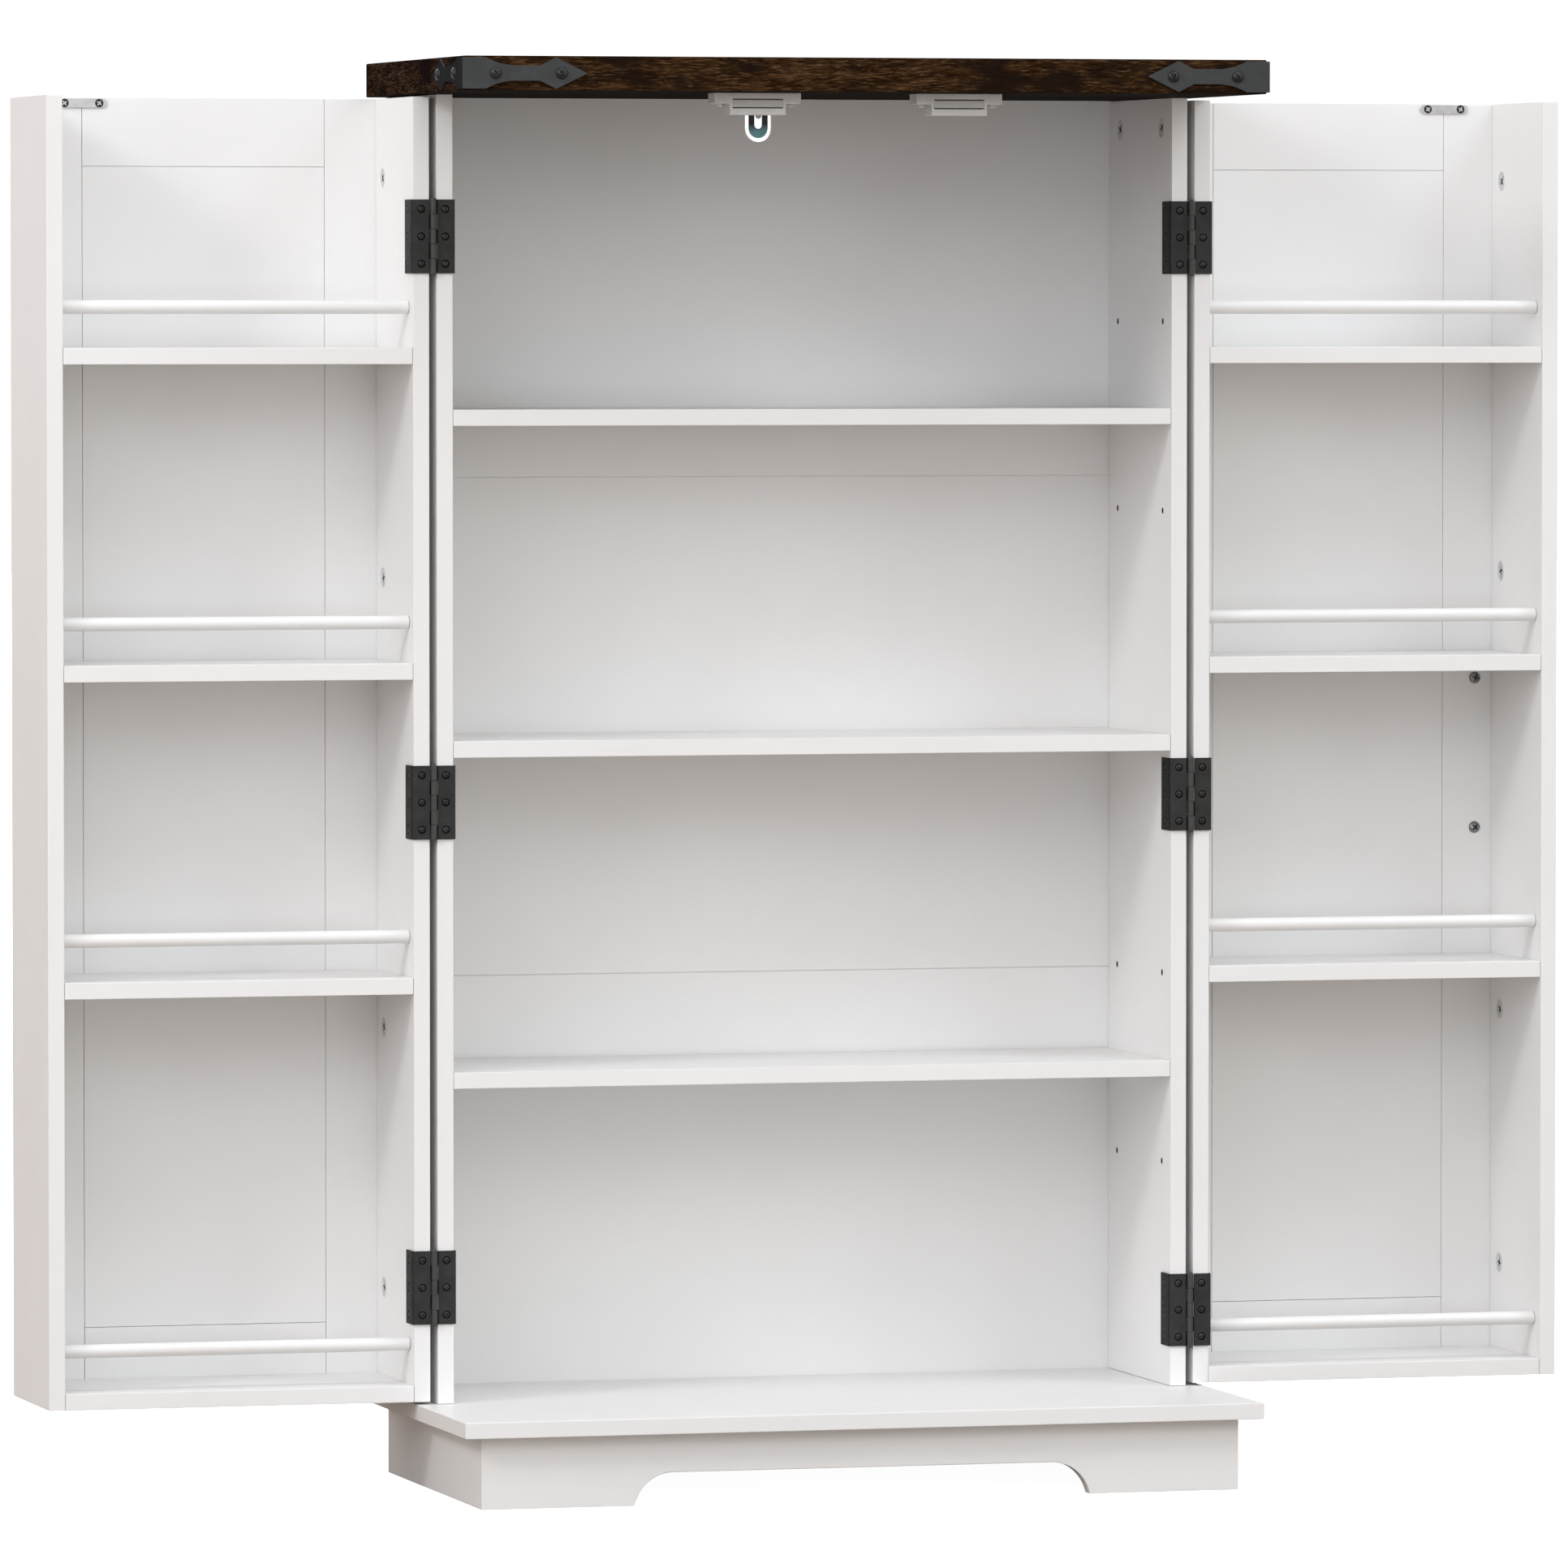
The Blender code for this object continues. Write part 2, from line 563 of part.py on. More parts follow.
def leaf_mesh(direction, on_door):
    """One hinge leaf about the hinge's axis and middle: angle, tabs and its own knuckles."""
    name = "door_leaf" if on_door else "carcass_leaf"
    leaf = bpy.data.objects.new(name, outline_mesh(name, leaf_outline(direction), HINGE_HEIGHT))
    CUTTERS.objects.link(leaf)
    spans = knuckle_spans()[1::2] if on_door else knuckle_spans()[::2]
    tab_y = (LEAF_FRONT_Y, LEAF_FRONT_Y + LEAF_THICK)
    reach = (HINGE_BORE_RADIUS + KNUCKLE_RADIUS) / 2 if on_door else 0
    near = DOOR_INNER_X - AXIS_X + GAP
    tabs = [((direction * reach, direction * near), tab_y, span) for span in spans]
    helpers = [add_helper("tabs", boxes_mesh("tabs", tabs))]
    if on_door:
        rings = [turned_mesh("knuckle", loose_knuckle_profile(*span)) for span in spans]
        helpers += [add_helper("knuckle", ring) for ring in rings]
    else:
        helpers.append(add_helper("pin", turned_mesh("pin", fixed_knuckle_profile())))
    for helper in helpers:
        combine(leaf, helper, "UNION")
    mesh = finished_mesh(name, leaf)
    for helper in helpers:
        bpy.data.objects.remove(helper)
    return mesh


def build_hinges(side, sign, empty):
    heights = {**HINGE_Z, "lower": LOWEST_HINGE_Z[side]}
    fixed = leaf_mesh(-sign, on_door=False)
    loose = leaf_mesh(sign, on_door=True)
    for name, height in heights.items():
        centre = (sign * AXIS_X, AXIS_Y, height)
        leaf = f"{side}_hinge_{name}"
        add_part(f"{leaf}_carcass_leaf", fixed, BLACK_METAL, centre, smooth=True)
        add_part(f"{leaf}_door_leaf", loose, BLACK_METAL, centre, parent=empty, smooth=True)


# Fittings of the carcass


def bracket_arm_outline():
    """One arm of a corner bracket, from the corner to its arrow tip."""
    start = (BRACKET_FULL_LENGTH, BRACKET_HALF_HEIGHT)
    run = BRACKET_NECK[0] - start[0]
    rise = start[1] - BRACKET_NECK_HALF
    radius = (run * run + rise * rise) / (2 * rise)
    sweep = asin(run / radius) * 180 / pi
    curve = arc((BRACKET_NECK[0], BRACKET_NECK_HALF + radius), radius, 270 - sweep, 270, 6)
    upper = [(0, BRACKET_HALF_HEIGHT), *curve, (BRACKET_NECK[1], BRACKET_NECK_HALF)]
    upper.append((BRACKET_BARB, BRACKET_HALF_HEIGHT))
    lower = [(x, -y) for x, y in reversed(upper)]
    return [*upper, (BRACKET_TIP, 0), *lower]


def screw_head_profile():
    """Half outline of a domed screw head, from its crown to inside the bracket."""
    angles = [radians(angle) for angle in (0, 30, 60, 90)]
    dome = [(SCREW_HEAD_RADIUS * sin(a), SCREW_HEAD_HEIGHT * cos(a)) for a in angles]
    sunk = -BRACKET_THICK / 2
    return [*dome, (SCREW_HEAD_RADIUS, sunk), (0, sunk)]


def build_corner_brackets():
    """A folded metal bracket, with an arrow-headed arm and two screws on each face of the corner."""
    middle_z = TOP_LOW_Z + TOP_THICK / 2
    offset = GAP + BRACKET_THICK
    for side, sign in SIDES.items():
        front = [(-sign * x, y) for x, y in bracket_arm_outline()]
        name = f"corner_bracket_{side}"
        corner_x = sign * (TOP_WIDTH / 2 + offset)
        corner_y = FRONT_Y - offset
        mesh = outline_mesh(name, front, BRACKET_THICK)
        centre = (corner_x, corner_y + BRACKET_THICK / 2, middle_z)
        piece = add_part(name, mesh, SLATE_METAL, centre, STANDING)
        mesh = outline_mesh(name + "_side_arm", bracket_arm_outline(), BRACKET_THICK)
        centre = (corner_x - sign * BRACKET_THICK / 2, corner_y, middle_z)
        arm = add_helper(name + "_side_arm", mesh, centre, STANDING_SIDEWAYS)
        combine(piece, arm, "UNION")
        head = turned_mesh(name + "_head", screw_head_profile())
        for distance in BRACKET_SCREWS:
            front_centre = (corner_x - sign * distance, corner_y, middle_z)
            combine(piece, add_helper(name + "_front_head", head, front_centre, STANDING), "UNION")
            side_centre = (corner_x, corner_y + distance, middle_z)
            turn = (0, sign * pi / 2, 0)
            combine(piece, add_helper(name + "_side_head", head, side_centre, turn), "UNION")


def build_catches():
    """Two magnetic catches under the top, just behind the closed doors' strike plates."""
    closed_strike_y = 2 * AXIS_Y - (DOOR_PANEL_Y - GAP - STRIKE_THICK)
    front = closed_strike_y + GAP
    top = TOP_LOW_Z - GAP
    for side, sign in SIDES.items():
        spans = []
        for width, depth, height in (CATCH_EAR_SIZE, CATCH_BODY_SIZE):
            x = (sign * CATCH_X - width / 2, sign * CATCH_X + width / 2)
            spans.append((x, (front, front + depth), (top - height, top)))
        piece = board(f"magnet_catch_{side}", *spans[0], material=CATCH_PLASTIC)
        helper = add_helper(f"catch_body_{side}", boxes_mesh("catch_body", [spans[1]]))
        combine(piece, helper, "UNION")


def build_anti_tip_bracket():
    """A steel angle under the top's rear edge. Its slotted leg hangs in the back's notch."""
    top = TOP_LOW_Z - GAP
    half = TIP_BRACKET_WIDTH / 2
    outline = [(half, top), (-half, top), *arc((0, TIP_BRACKET_LOW_Z + half), half, 180, 360, 8)]
    mesh = outline_mesh("anti_tip_bracket", outline, TIP_BRACKET_THICK)
    leg_y = BACK_Y + GAP + TIP_BRACKET_THICK / 2
    piece = add_part("anti_tip_bracket", mesh, STEEL, (0, leg_y, 0), STANDING)
    slot = outline_mesh("tip_slot", slot_outline(TIP_SLOT_RADIUS, *TIP_SLOT_Z), 4 * TIP_BRACKET_THICK)
    combine(piece, add_helper("tip_slot", slot, (0, leg_y, 0), STANDING))
    back = leg_y + TIP_BRACKET_THICK / 2
    foot = ((-half, half), (back - TIP_BRACKET_LEG, back), (top - TIP_BRACKET_THICK, top))
    combine(piece, add_helper("tip_foot", boxes_mesh("tip_foot", [foot])), "UNION")


build_top_and_bottom()
build_plinth()
build_sides()
build_shelves()
build_back()
build_corner_brackets()
build_catches()
build_anti_tip_bracket()
for SIDE, SIGN in SIDES.items():
    AXIS = add_door_empty(SIDE, SIGN)
    build_door_walls(SIDE, SIGN, AXIS)
    build_door_front(SIDE, SIGN, AXIS)
    build_door_shelves(SIDE, SIGN, AXIS)
    build_rods(SIDE, SIGN, AXIS)
    build_handle(SIDE, SIGN, AXIS)
    build_strike_plate(SIDE, SIGN, AXIS)
    build_hinges(SIDE, SIGN, AXIS)
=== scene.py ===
"""Looks of the pantry cabinet: finishes, seams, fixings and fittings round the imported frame.

Metres, +Z up, the front faces -Y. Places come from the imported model's boxes. Both doors stand
open at rest.
"""

import json
from math import atan2, cos, pi, radians, sin

import bmesh
import bpy
from mathutils import Euler, Matrix, Vector


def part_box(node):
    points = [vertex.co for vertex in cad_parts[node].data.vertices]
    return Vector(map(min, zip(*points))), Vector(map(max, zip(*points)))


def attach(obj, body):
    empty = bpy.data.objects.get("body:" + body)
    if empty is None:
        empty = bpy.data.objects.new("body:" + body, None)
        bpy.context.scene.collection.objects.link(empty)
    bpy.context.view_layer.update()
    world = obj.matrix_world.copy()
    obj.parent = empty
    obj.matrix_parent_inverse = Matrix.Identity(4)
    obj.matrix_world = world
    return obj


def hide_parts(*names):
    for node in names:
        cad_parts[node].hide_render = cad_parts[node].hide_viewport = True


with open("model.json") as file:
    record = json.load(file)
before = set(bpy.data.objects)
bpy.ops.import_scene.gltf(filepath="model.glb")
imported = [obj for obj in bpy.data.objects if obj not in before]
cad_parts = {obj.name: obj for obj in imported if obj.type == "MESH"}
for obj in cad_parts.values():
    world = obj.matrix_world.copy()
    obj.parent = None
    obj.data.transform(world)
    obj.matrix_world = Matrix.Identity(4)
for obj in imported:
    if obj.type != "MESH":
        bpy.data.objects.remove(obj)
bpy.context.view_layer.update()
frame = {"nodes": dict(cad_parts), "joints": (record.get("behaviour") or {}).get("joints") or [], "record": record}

GAP = 0.0003
MM = 0.001
SIDES = {"left": -1, "right": 1}
TIERS = ("bottom", "lower", "middle", "upper")
DOWN = Vector((0, 0, -1))
FORWARD = Vector((0, -1, 0))

# Places of the fixings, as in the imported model
PIN_Y = (0.0170, 0.1328)
PIN_ROW_STEP = 70.5 * MM
SHELF_HALF = 6 * MM
TOP_CAM_Y = (0.0212, 0.1277)
TOP_CAM_Z = 1.003
DOOR_CAM_Z = (0.144, 0.337, 0.6695, 0.9645)
DOOR_CAM_FROM_PANEL = 21 * MM
HANDLE_SCREW_SPAN = 113.7 * MM
STRIKE_SCREW_X = 13 * MM
CATCH_SCREW_X = 26.8 * MM
BRACKET_SCREW_REACH = (24.7 * MM, 73.7 * MM)
ANTI_TIP_SCREW_Z = 1.0128
STILE, RAIL, LIP = 51 * MM, 50 * MM, 6 * MM  # widths in a door's frame

# Finishes


def shade(tree, kind, inputs=None, **settings):
    """A shader node. Each input is a number, a colour or another node's socket."""
    made = tree.nodes.new("ShaderNode" + kind)
    for name, value in settings.items():
        setattr(made, name, value)
    for name, value in (inputs or {}).items():
        if isinstance(value, bpy.types.NodeSocket):
            tree.links.new(value, made.inputs[name])
        else:
            made.inputs[name].default_value = value
    return made


def noise(tree, where, scale, detail=4.0, roughness=0.55):
    inputs = {"Vector": where, "Scale": scale, "Detail": detail, "Roughness": roughness}
    return shade(tree, "TexNoise", inputs).outputs["Fac"]


def ramp(tree, factor, *stops):
    """A colour ramp through (position, colour) stops. A colour may be one grey number."""
    made = shade(tree, "ValToRGB", {"Fac": factor})
    elements = made.color_ramp.elements
    for index, (position, colour) in enumerate(stops):
        if index == 0 or index == len(stops) - 1:
            element = elements[0 if index == 0 else -1]
            element.position = position
        else:
            element = elements.new(position)
        if isinstance(colour, (int, float)):
            colour = (colour, colour, colour)
        element.color = (*colour, 1)
    return made.outputs["Color"]


def mix(tree, factor, first, second, blend="MIX"):
    """A mix of two colours, each a colour or a socket. The factor is a number or a socket."""
    made = tree.nodes.new("ShaderNodeMix")
    made.data_type = "RGBA"
    made.blend_type = blend
    for index, value in ((0, factor), (6, first), (7, second)):
        if isinstance(value, bpy.types.NodeSocket):
            tree.links.new(value, made.inputs[index])
        elif index:
            made.inputs[index].default_value = (*value, 1)
        else:
            made.inputs[index].default_value = value
    return made.outputs[2]


def spread(tree, value, low, high):
    """Carries a value of 0.3 to 0.7, which is most of a noise's range, to low to high."""
    inputs = {"Value": value, "From Min": 0.3, "From Max": 0.7, "To Min": low, "To Max": high}
    return shade(tree, "MapRange", inputs).outputs["Result"]


def stretched(tree, scale):
    """Object coordinates in metres, scaled along each axis."""
    where = shade(tree, "TexCoord").outputs["Object"]
    return shade(tree, "Mapping", {"Vector": where, "Scale": scale}).outputs["Vector"]


def edge_mask(tree, radius):
    """0 on flat faces, rising to 1 within radius of an edge."""
    rounded = shade(tree, "Bevel", {"Radius": radius}, samples=4).outputs["Normal"]
    straight = shade(tree, "NewGeometry").outputs["Normal"]
    inputs = {0: rounded, 1: straight}
    agree = shade(tree, "VectorMath", inputs, operation="DOT_PRODUCT").outputs["Value"]
    inputs = {"Value": agree, "From Min": 1.0, "From Max": 0.72, "To Min": 0.0, "To Max": 1.0}
    return shade(tree, "MapRange", inputs).outputs["Result"]


def faces_across(tree):
    """1 on faces that look along X, and 0 elsewhere."""
    normal = shade(tree, "TexCoord").outputs["Normal"]
    across = shade(tree, "SeparateXYZ", {"Vector": normal}).outputs["X"]
    across = shade(tree, "Math", {0: across}, operation="ABSOLUTE").outputs["Value"]
    return shade(tree, "Math", {0: across, 1: 0.6}, operation="GREATER_THAN").outputs["Value"]


def worn(tree, mask, where, scale, low, high):
    """The edge mask broken up by noise, so that wear comes and goes along an edge."""
    inputs = {"Value": noise(tree, where, scale, 3.0), "From Min": low, "From Max": high}
    patches = shade(tree, "MapRange", inputs).outputs["Result"]
    return shade(tree, "Math", {0: mask, 1: patches}, operation="MULTIPLY").outputs["Value"]


def new_material(name, metallic=0.0):
    material = bpy.data.materials.new(name)
    material.use_nodes = True
    shader = material.node_tree.nodes["Principled BSDF"]
    shader.inputs["Metallic"].default_value = metallic
    return material, material.node_tree, shader


def finish_surface(tree, shader, colour, rough, height, strength, distance):
    """Links colour, roughness and bump height to the shader."""
    inputs = {"Height": height, "Strength": strength, "Distance": distance}
    bump = shade(tree, "Bump", inputs).outputs["Normal"]
    tree.links.new(colour, shader.inputs["Base Color"])
    tree.links.new(rough, shader.inputs["Roughness"])
    tree.links.new(bump, shader.inputs["Normal"])


def lacquer():
    """Satin white lacquer on board: faint mottling, fine orange peel and slightly rubbed edges."""
    material, tree, shader = new_material("white_lacquer")
    where = stretched(tree, (1, 1, 1))
    mottled = mix(
        tree,
        spread(tree, noise(tree, where, 7.0, 5.0), 0.0, 1.0),
        (0.800, 0.793, 0.786),
        (0.826, 0.821, 0.816),
    )
    fibres = noise(tree, stretched(tree, (40, 40, 900)), 1.0, 3.0)
    mottled = mix(tree, spread(tree, fibres, 0.0, 0.10), mottled, (0.77, 0.76, 0.75))
    rubbed = worn(tree, edge_mask(tree, 0.0012), where, 45.0, 0.42, 0.70)
    rubbed = shade(tree, "Math", {0: rubbed, 1: 0.35}, operation="MULTIPLY").outputs["Value"]
    colour = mix(tree, rubbed, mottled, (0.70, 0.66, 0.61))
    rough = spread(tree, noise(tree, where, 160.0, 3.0), 0.34, 0.46)
    peel = noise(tree, where, 620.0, 2.0)
    finish_surface(tree, shader, colour, rough, peel, 0.05, 0.0004)
    return material


def rustic_wood():
    """Dark rustic brown: short wavy streaks along each face, near-black patches and edges."""
    material, tree, shader = new_material("rustic_oak")
    coordinates = shade(tree, "TexCoord")
    parts = shade(tree, "SeparateXYZ", {"Vector": coordinates.outputs["Object"]}).outputs
    turned = shade(tree, "CombineXYZ", {"X": parts["Y"], "Y": parts["X"], "Z": parts["Z"]})
    facing = shade(tree, "SeparateXYZ", {"Vector": coordinates.outputs["Normal"]}).outputs
    on_end = faces_across(tree)
    below = shade(tree, "Math", {0: facing["Z"], 1: -0.6}, operation="LESS_THAN").outputs["Value"]
    flat = mix(tree, on_end, coordinates.outputs["Object"], turned.outputs["Vector"])
    inputs = {"Vector": flat, "Scale": 38.0, "Detail": 3.0}
    wander = shade(tree, "TexNoise", inputs).outputs["Color"]
    shift = shade(
        tree, "VectorMath", {0: wander, 1: (0.003, 0.0034, 0.0034)}, operation="MULTIPLY"
    ).outputs["Vector"]
    bent = shade(tree, "VectorMath", {0: flat, 1: shift}, operation="ADD").outputs["Vector"]

    def grain(scale, detail, roughness=0.6):
        where = shade(tree, "Mapping", {"Vector": bent, "Scale": scale}).outputs["Vector"]
        return noise(tree, where, 1.0, detail, roughness)

    patches = grain((22, 95, 48), 3.0)
    bands = grain((32, 330, 170), 4.0)
    streaks = grain((95, 820, 900), 5.0, 0.70)
    pores = grain((260, 2600, 2600), 2.0)
    base = ramp(
        tree,
        bands,
        (0.30, (0.0090, 0.0046, 0.0022)),
        (0.47, (0.0225, 0.0104, 0.0042)),
        (0.60, (0.0405, 0.0195, 0.0078)),
        (0.76, (0.0820, 0.0415, 0.0170)),
    )
    light = ramp(tree, streaks, (0.52, 0.0), (0.66, 1.0))
    streaked = mix(tree, light, base, (0.1150, 0.0630, 0.0290))
    dark = ramp(tree, streaks, (0.36, 1.0), (0.46, 0.0))
    streaked = mix(tree, dark, streaked, (0.0075, 0.0038, 0.0022))
    shadowy = ramp(tree, patches, (0.38, 0.9), (0.52, 0.0))
    toned = mix(tree, shadowy, streaked, (0.0110, 0.0062, 0.0042))
    toned = mix(tree, ramp(tree, pores, (0.30, 0.55), (0.42, 0.0)), toned, (0.004, 0.003, 0.002))
    # Faces looking down take one flat dark colour: painted shade on the board's underside.
    toned = mix(tree, below, toned, (0.030, 0.0265, 0.025))
    # Faces across X are dimmed and cooled: painted shade on the board's ends.
    toned = mix(tree, on_end, toned, mix(tree, 1.0, toned, (0.70, 0.78, 1.10), "MULTIPLY"))
    edges = edge_mask(tree, 0.0018)
    colour = mix(tree, edges, toned, (0.0060, 0.0042, 0.0034))
    rough = spread(tree, streaks, 0.55, 0.72)
    finish_surface(tree, shader, colour, rough, streaks, 0.30, 0.0003)
    shader.inputs["Specular IOR Level"].default_value = 0.0
    return material


def coated_metal(
    name, low, high, edge, rough, gloss, grit=1900.0, metallic=0.0, strength=0.25, ends=1.0
):
    """Powder-coated or blackened metal: fine grit, and thin bright wear along edges.

    low and high are the coat's darkest and lightest colour. The last argument dims faces across X: painted shade
    on the sides.
    """
    material, tree, shader = new_material(name, metallic)
    where = stretched(tree, (1, 1, 1))
    base = mix(tree, spread(tree, noise(tree, where, 90.0, 4.0), 0.0, 1.0), low, high)
    rubbed = worn(tree, edge_mask(tree, 0.0006), where, 160.0, 0.40, 0.62)
    colour = mix(tree, rubbed, base, edge)
    # Faces across X are dimmed: painted shade on the sides.
    if ends < 1.0:
        on_end = faces_across(tree)
        colour = mix(tree, on_end, colour, mix(tree, 1.0, colour, (ends, ends, ends), "MULTIPLY"))
    roughness = spread(tree, noise(tree, where, 420.0, 3.0), *rough)
    finish_surface(tree, shader, colour, roughness, noise(tree, where, grit, 2.0), strength, 0.0002)
    shader.inputs["Specular IOR Level"].default_value = gloss
    return material


def bare_metal(name, low, high, rough, metallic=1.0):
    """Zinc-plated steel: fine upright brushing, cloudy plating and bright rubbed edges."""
    material, tree, shader = new_material(name, metallic)
    where = stretched(tree, (1, 1, 1))
    cloudy = mix(tree, spread(tree, noise(tree, where, 130.0, 4.0), 0.0, 1.0), low, high)
    brushed = noise(tree, stretched(tree, (60, 60, 1400)), 1.0, 3.0)
    rubbed = worn(tree, edge_mask(tree, 0.0005), where, 120.0, 0.40, 0.62)
    colour = mix(tree, rubbed, cloudy, tuple(min(1.0, value * 1.25) for value in high))
    finish_surface(tree, shader, colour, spread(tree, brushed, *rough), brushed, 0.12, 0.0002)
    return material


def passivated_steel():
    """Blue-passivated zinc that darkens towards the top of the strap."""
    material, tree, shader = new_material("blue_zinc", 0.2)
    where = stretched(tree, (1, 1, 1))
    low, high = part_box("anti_tip_bracket")
    height = shade(tree, "SeparateXYZ", {"Vector": where}).outputs["Z"]
    inputs = {"Value": height, "From Min": low.z + 0.0045, "From Max": low.z + 0.0105}
    rise = shade(tree, "MapRange", inputs).outputs["Result"]
    cloudy = spread(tree, noise(tree, where, 130.0, 4.0), 0.0, 1.0)
    bright = mix(tree, cloudy, (0.21, 0.50, 0.56), (0.27, 0.60, 0.66))
    dark = mix(tree, cloudy, (0.030, 0.034, 0.036), (0.055, 0.060, 0.062))
    brushed = noise(tree, stretched(tree, (900, 60, 60)), 1.0, 3.0)
    colour = mix(tree, rise, bright, dark)
    finish_surface(tree, shader, colour, spread(tree, brushed, 0.34, 0.5), brushed, 0.12, 0.0002)
    return material


def moulded_plastic():
    """Milky white plastic with a fine moulded texture."""
    material, tree, shader = new_material("milky_plastic")
    where = stretched(tree, (1, 1, 1))
    cloudy = spread(tree, noise(tree, where, 60.0, 4.0), 0.0, 1.0)
    base = mix(tree, cloudy, (0.60, 0.60, 0.59), (0.68, 0.68, 0.67))
    colour = mix(tree, edge_mask(tree, 0.0006), base, (0.78, 0.78, 0.77))
    rough = spread(tree, noise(tree, where, 300.0, 3.0), 0.32, 0.46)
    finish_surface(tree, shader, colour, rough, noise(tree, where, 1500.0, 2.0), 0.10, 0.0002)
    shader.inputs["Subsurface Weight"].default_value = 0.08
    shader.inputs["Subsurface Scale"].default_value = 0.002
    return material


WHITE = lacquer()
WOOD = rustic_wood()
# Its faces across X are dimmed: painted shade on the hinge wraps.
BLACK = coated_metal(
    "black_powder_coat",
    (0.028, 0.028, 0.0275),
    (0.040, 0.040, 0.0395),
    (0.075,) * 3,
    (0.42, 0.58),
    0.10,
    ends=0.28,
)
# Lighter than the black coat: a painted highlight on the hinge knuckles.
BLACK_PAINTED_HIGHLIGHT = coated_metal(
    "black_knuckle_painted_highlight",
    (0.047, 0.047, 0.0445),
    (0.062, 0.0615, 0.0585),
    (0.09,) * 3,
    (0.34, 0.48),
    0.25,
)
# Near black: painted shade in the hinges' countersinks and in the gaps beside the knuckles.
PAINTED_SHADE_BLACK = coated_metal(
    "painted_shade_black", (0.004,) * 3, (0.007,) * 3, (0.012,) * 3, (0.6, 0.8), 0.0
)
BARE_RECESS = coated_metal("bare_recess", (0.66,) * 3, (0.76,) * 3, (0.80,) * 3, (0.4, 0.6), 0.3)
# Its faces across X are dimmed: painted shade on the brackets' side arms.
SLATE = coated_metal(
    "slate_powder_coat",
    (0.050, 0.052, 0.053),
    (0.062, 0.064, 0.065),
    (0.100, 0.103, 0.105),
    (0.55, 0.7),
    0.0,
    ends=0.36,
)
# Black zinc on the bracket screws. In the recesses of the cams and handle screws, and as the catches' pole plates,
# it is painted shade.
BLACK_ZINC_AND_PAINTED_SHADE = coated_metal(
    "black_zinc_and_painted_shade",
    (0.016,) * 3,
    (0.028,) * 3,
    (0.10,) * 3,
    (0.26, 0.40),
    0.35,
    grit=900.0,
    metallic=0.3,
    strength=0.1,
)
ZINC = bare_metal("bright_zinc", (0.545,) * 3, (0.645,) * 3, (0.26, 0.40))
DARK_ZINC = bare_metal("dark_zinc", (0.036,) * 3, (0.066,) * 3, (0.34, 0.48))
GREY_STEEL = bare_metal("grey_steel", (0.20,) * 3, (0.30,) * 3, (0.30, 0.44))
DULL_ZINC = bare_metal(
    "die_cast_zinc", (0.54, 0.545, 0.55), (0.64, 0.645, 0.65), (0.40, 0.55), metallic=0.25
)
BLUE_ZINC = passivated_steel()
PLASTIC = moulded_plastic()
# Raw board, darker than bare board: partly the holes' unpainted board and partly painted shade in them.
RAW_BOARD_AND_PAINTED_SHADE = coated_metal(
    "raw_board_and_painted_shade", (0.045, 0.034, 0.026), (0.075, 0.058, 0.044), (0.10,) * 3, (0.75, 0.90), 0.1
)
CERAMIC = coated_metal(
    "grey_magnet",
    (0.50, 0.50, 0.49),
    (0.56, 0.56, 0.55),
    (0.62,) * 3,
    (0.5, 0.65),
    0.5,
    grit=800.0,
)
FINISH = {
    "white_paint": WHITE,
    "rustic_wood": WOOD,
    "black_metal": BLACK,
    "slate_metal": SLATE,
    "catch_plastic": PLASTIC,
    "steel": ZINC,
}

# Shapes


def new_mesh(name, shape):
    """A mesh from a bmesh, which is freed, with its faces turned outwards."""
    bmesh.ops.recalc_face_normals(shape, faces=shape.faces)
    mesh = bpy.data.meshes.new(name)
    shape.to_mesh(mesh)
    shape.free()
    return mesh


def loose_object(name, mesh):
    made = bpy.data.objects.new(name, mesh)
    bpy.context.scene.collection.objects.link(made)
    return made


def box(shape, low, high):
    """Adds a box between two corners, in any order."""
    first = Vector(map(min, low, high))
    last = Vector(map(max, low, high))
    verts = bmesh.ops.create_cube(shape, size=1)["verts"]
    bmesh.ops.scale(shape, vec=last - first, verts=verts)
    bmesh.ops.translate(shape, vec=(first + last) / 2, verts=verts)


def box_mesh(name, low, high):
    shape = bmesh.new()
    box(shape, low, high)
    return new_mesh(name, shape)


def prism(shape, outline, low, high, place):
    """Adds the solid between two copies of an outline. place carries (u, v, w) to x, y, z."""
    ends = [[shape.verts.new(place(u, v, w)) for u, v in outline] for w in (low, high)]
    shape.faces.new(ends[0])
    shape.faces.new(ends[1])
    for index in range(len(outline)):
        shape.faces.new((ends[0][index - 1], ends[0][index], ends[1][index], ends[1][index - 1]))


def prism_mesh(name, outline, low, high, place):
    shape = bmesh.new()
    prism(shape, outline, low, high, place)
    return new_mesh(name, shape)


def arc(centre, radius, start, end, steps):
    """Points along an arc, between two angles in degrees."""
    angles = [radians(start + (end - start) * step / steps) for step in range(steps + 1)]
    return [(centre[0] + radius * cos(a), centre[1] + radius * sin(a)) for a in angles]


def lathe(shape, profile, sides, turn=None):
    """Adds a profile of (radius, height) points turned about Z. Ends at radius 0 close it."""
    rings = []
    for radius, height in profile:
        count = 1 if radius == 0 else sides
        ring = []
        for index in range(count):
            angle = 2 * pi * index / sides
            point = Vector((radius * cos(angle), radius * sin(angle), height))
            ring.append(shape.verts.new(turn @ point if turn else point))
        rings.append(ring)
    for first, second in zip(rings, rings[1:]):
        for index in range(sides):
            after = (index + 1) % sides
            corners = [first[index % len(first)], first[after % len(first)]]
            corners += [second[after % len(second)], second[index % len(second)]]
            corners = list(dict.fromkeys(corners))
            if len(corners) > 2:
                shape.faces.new(corners)


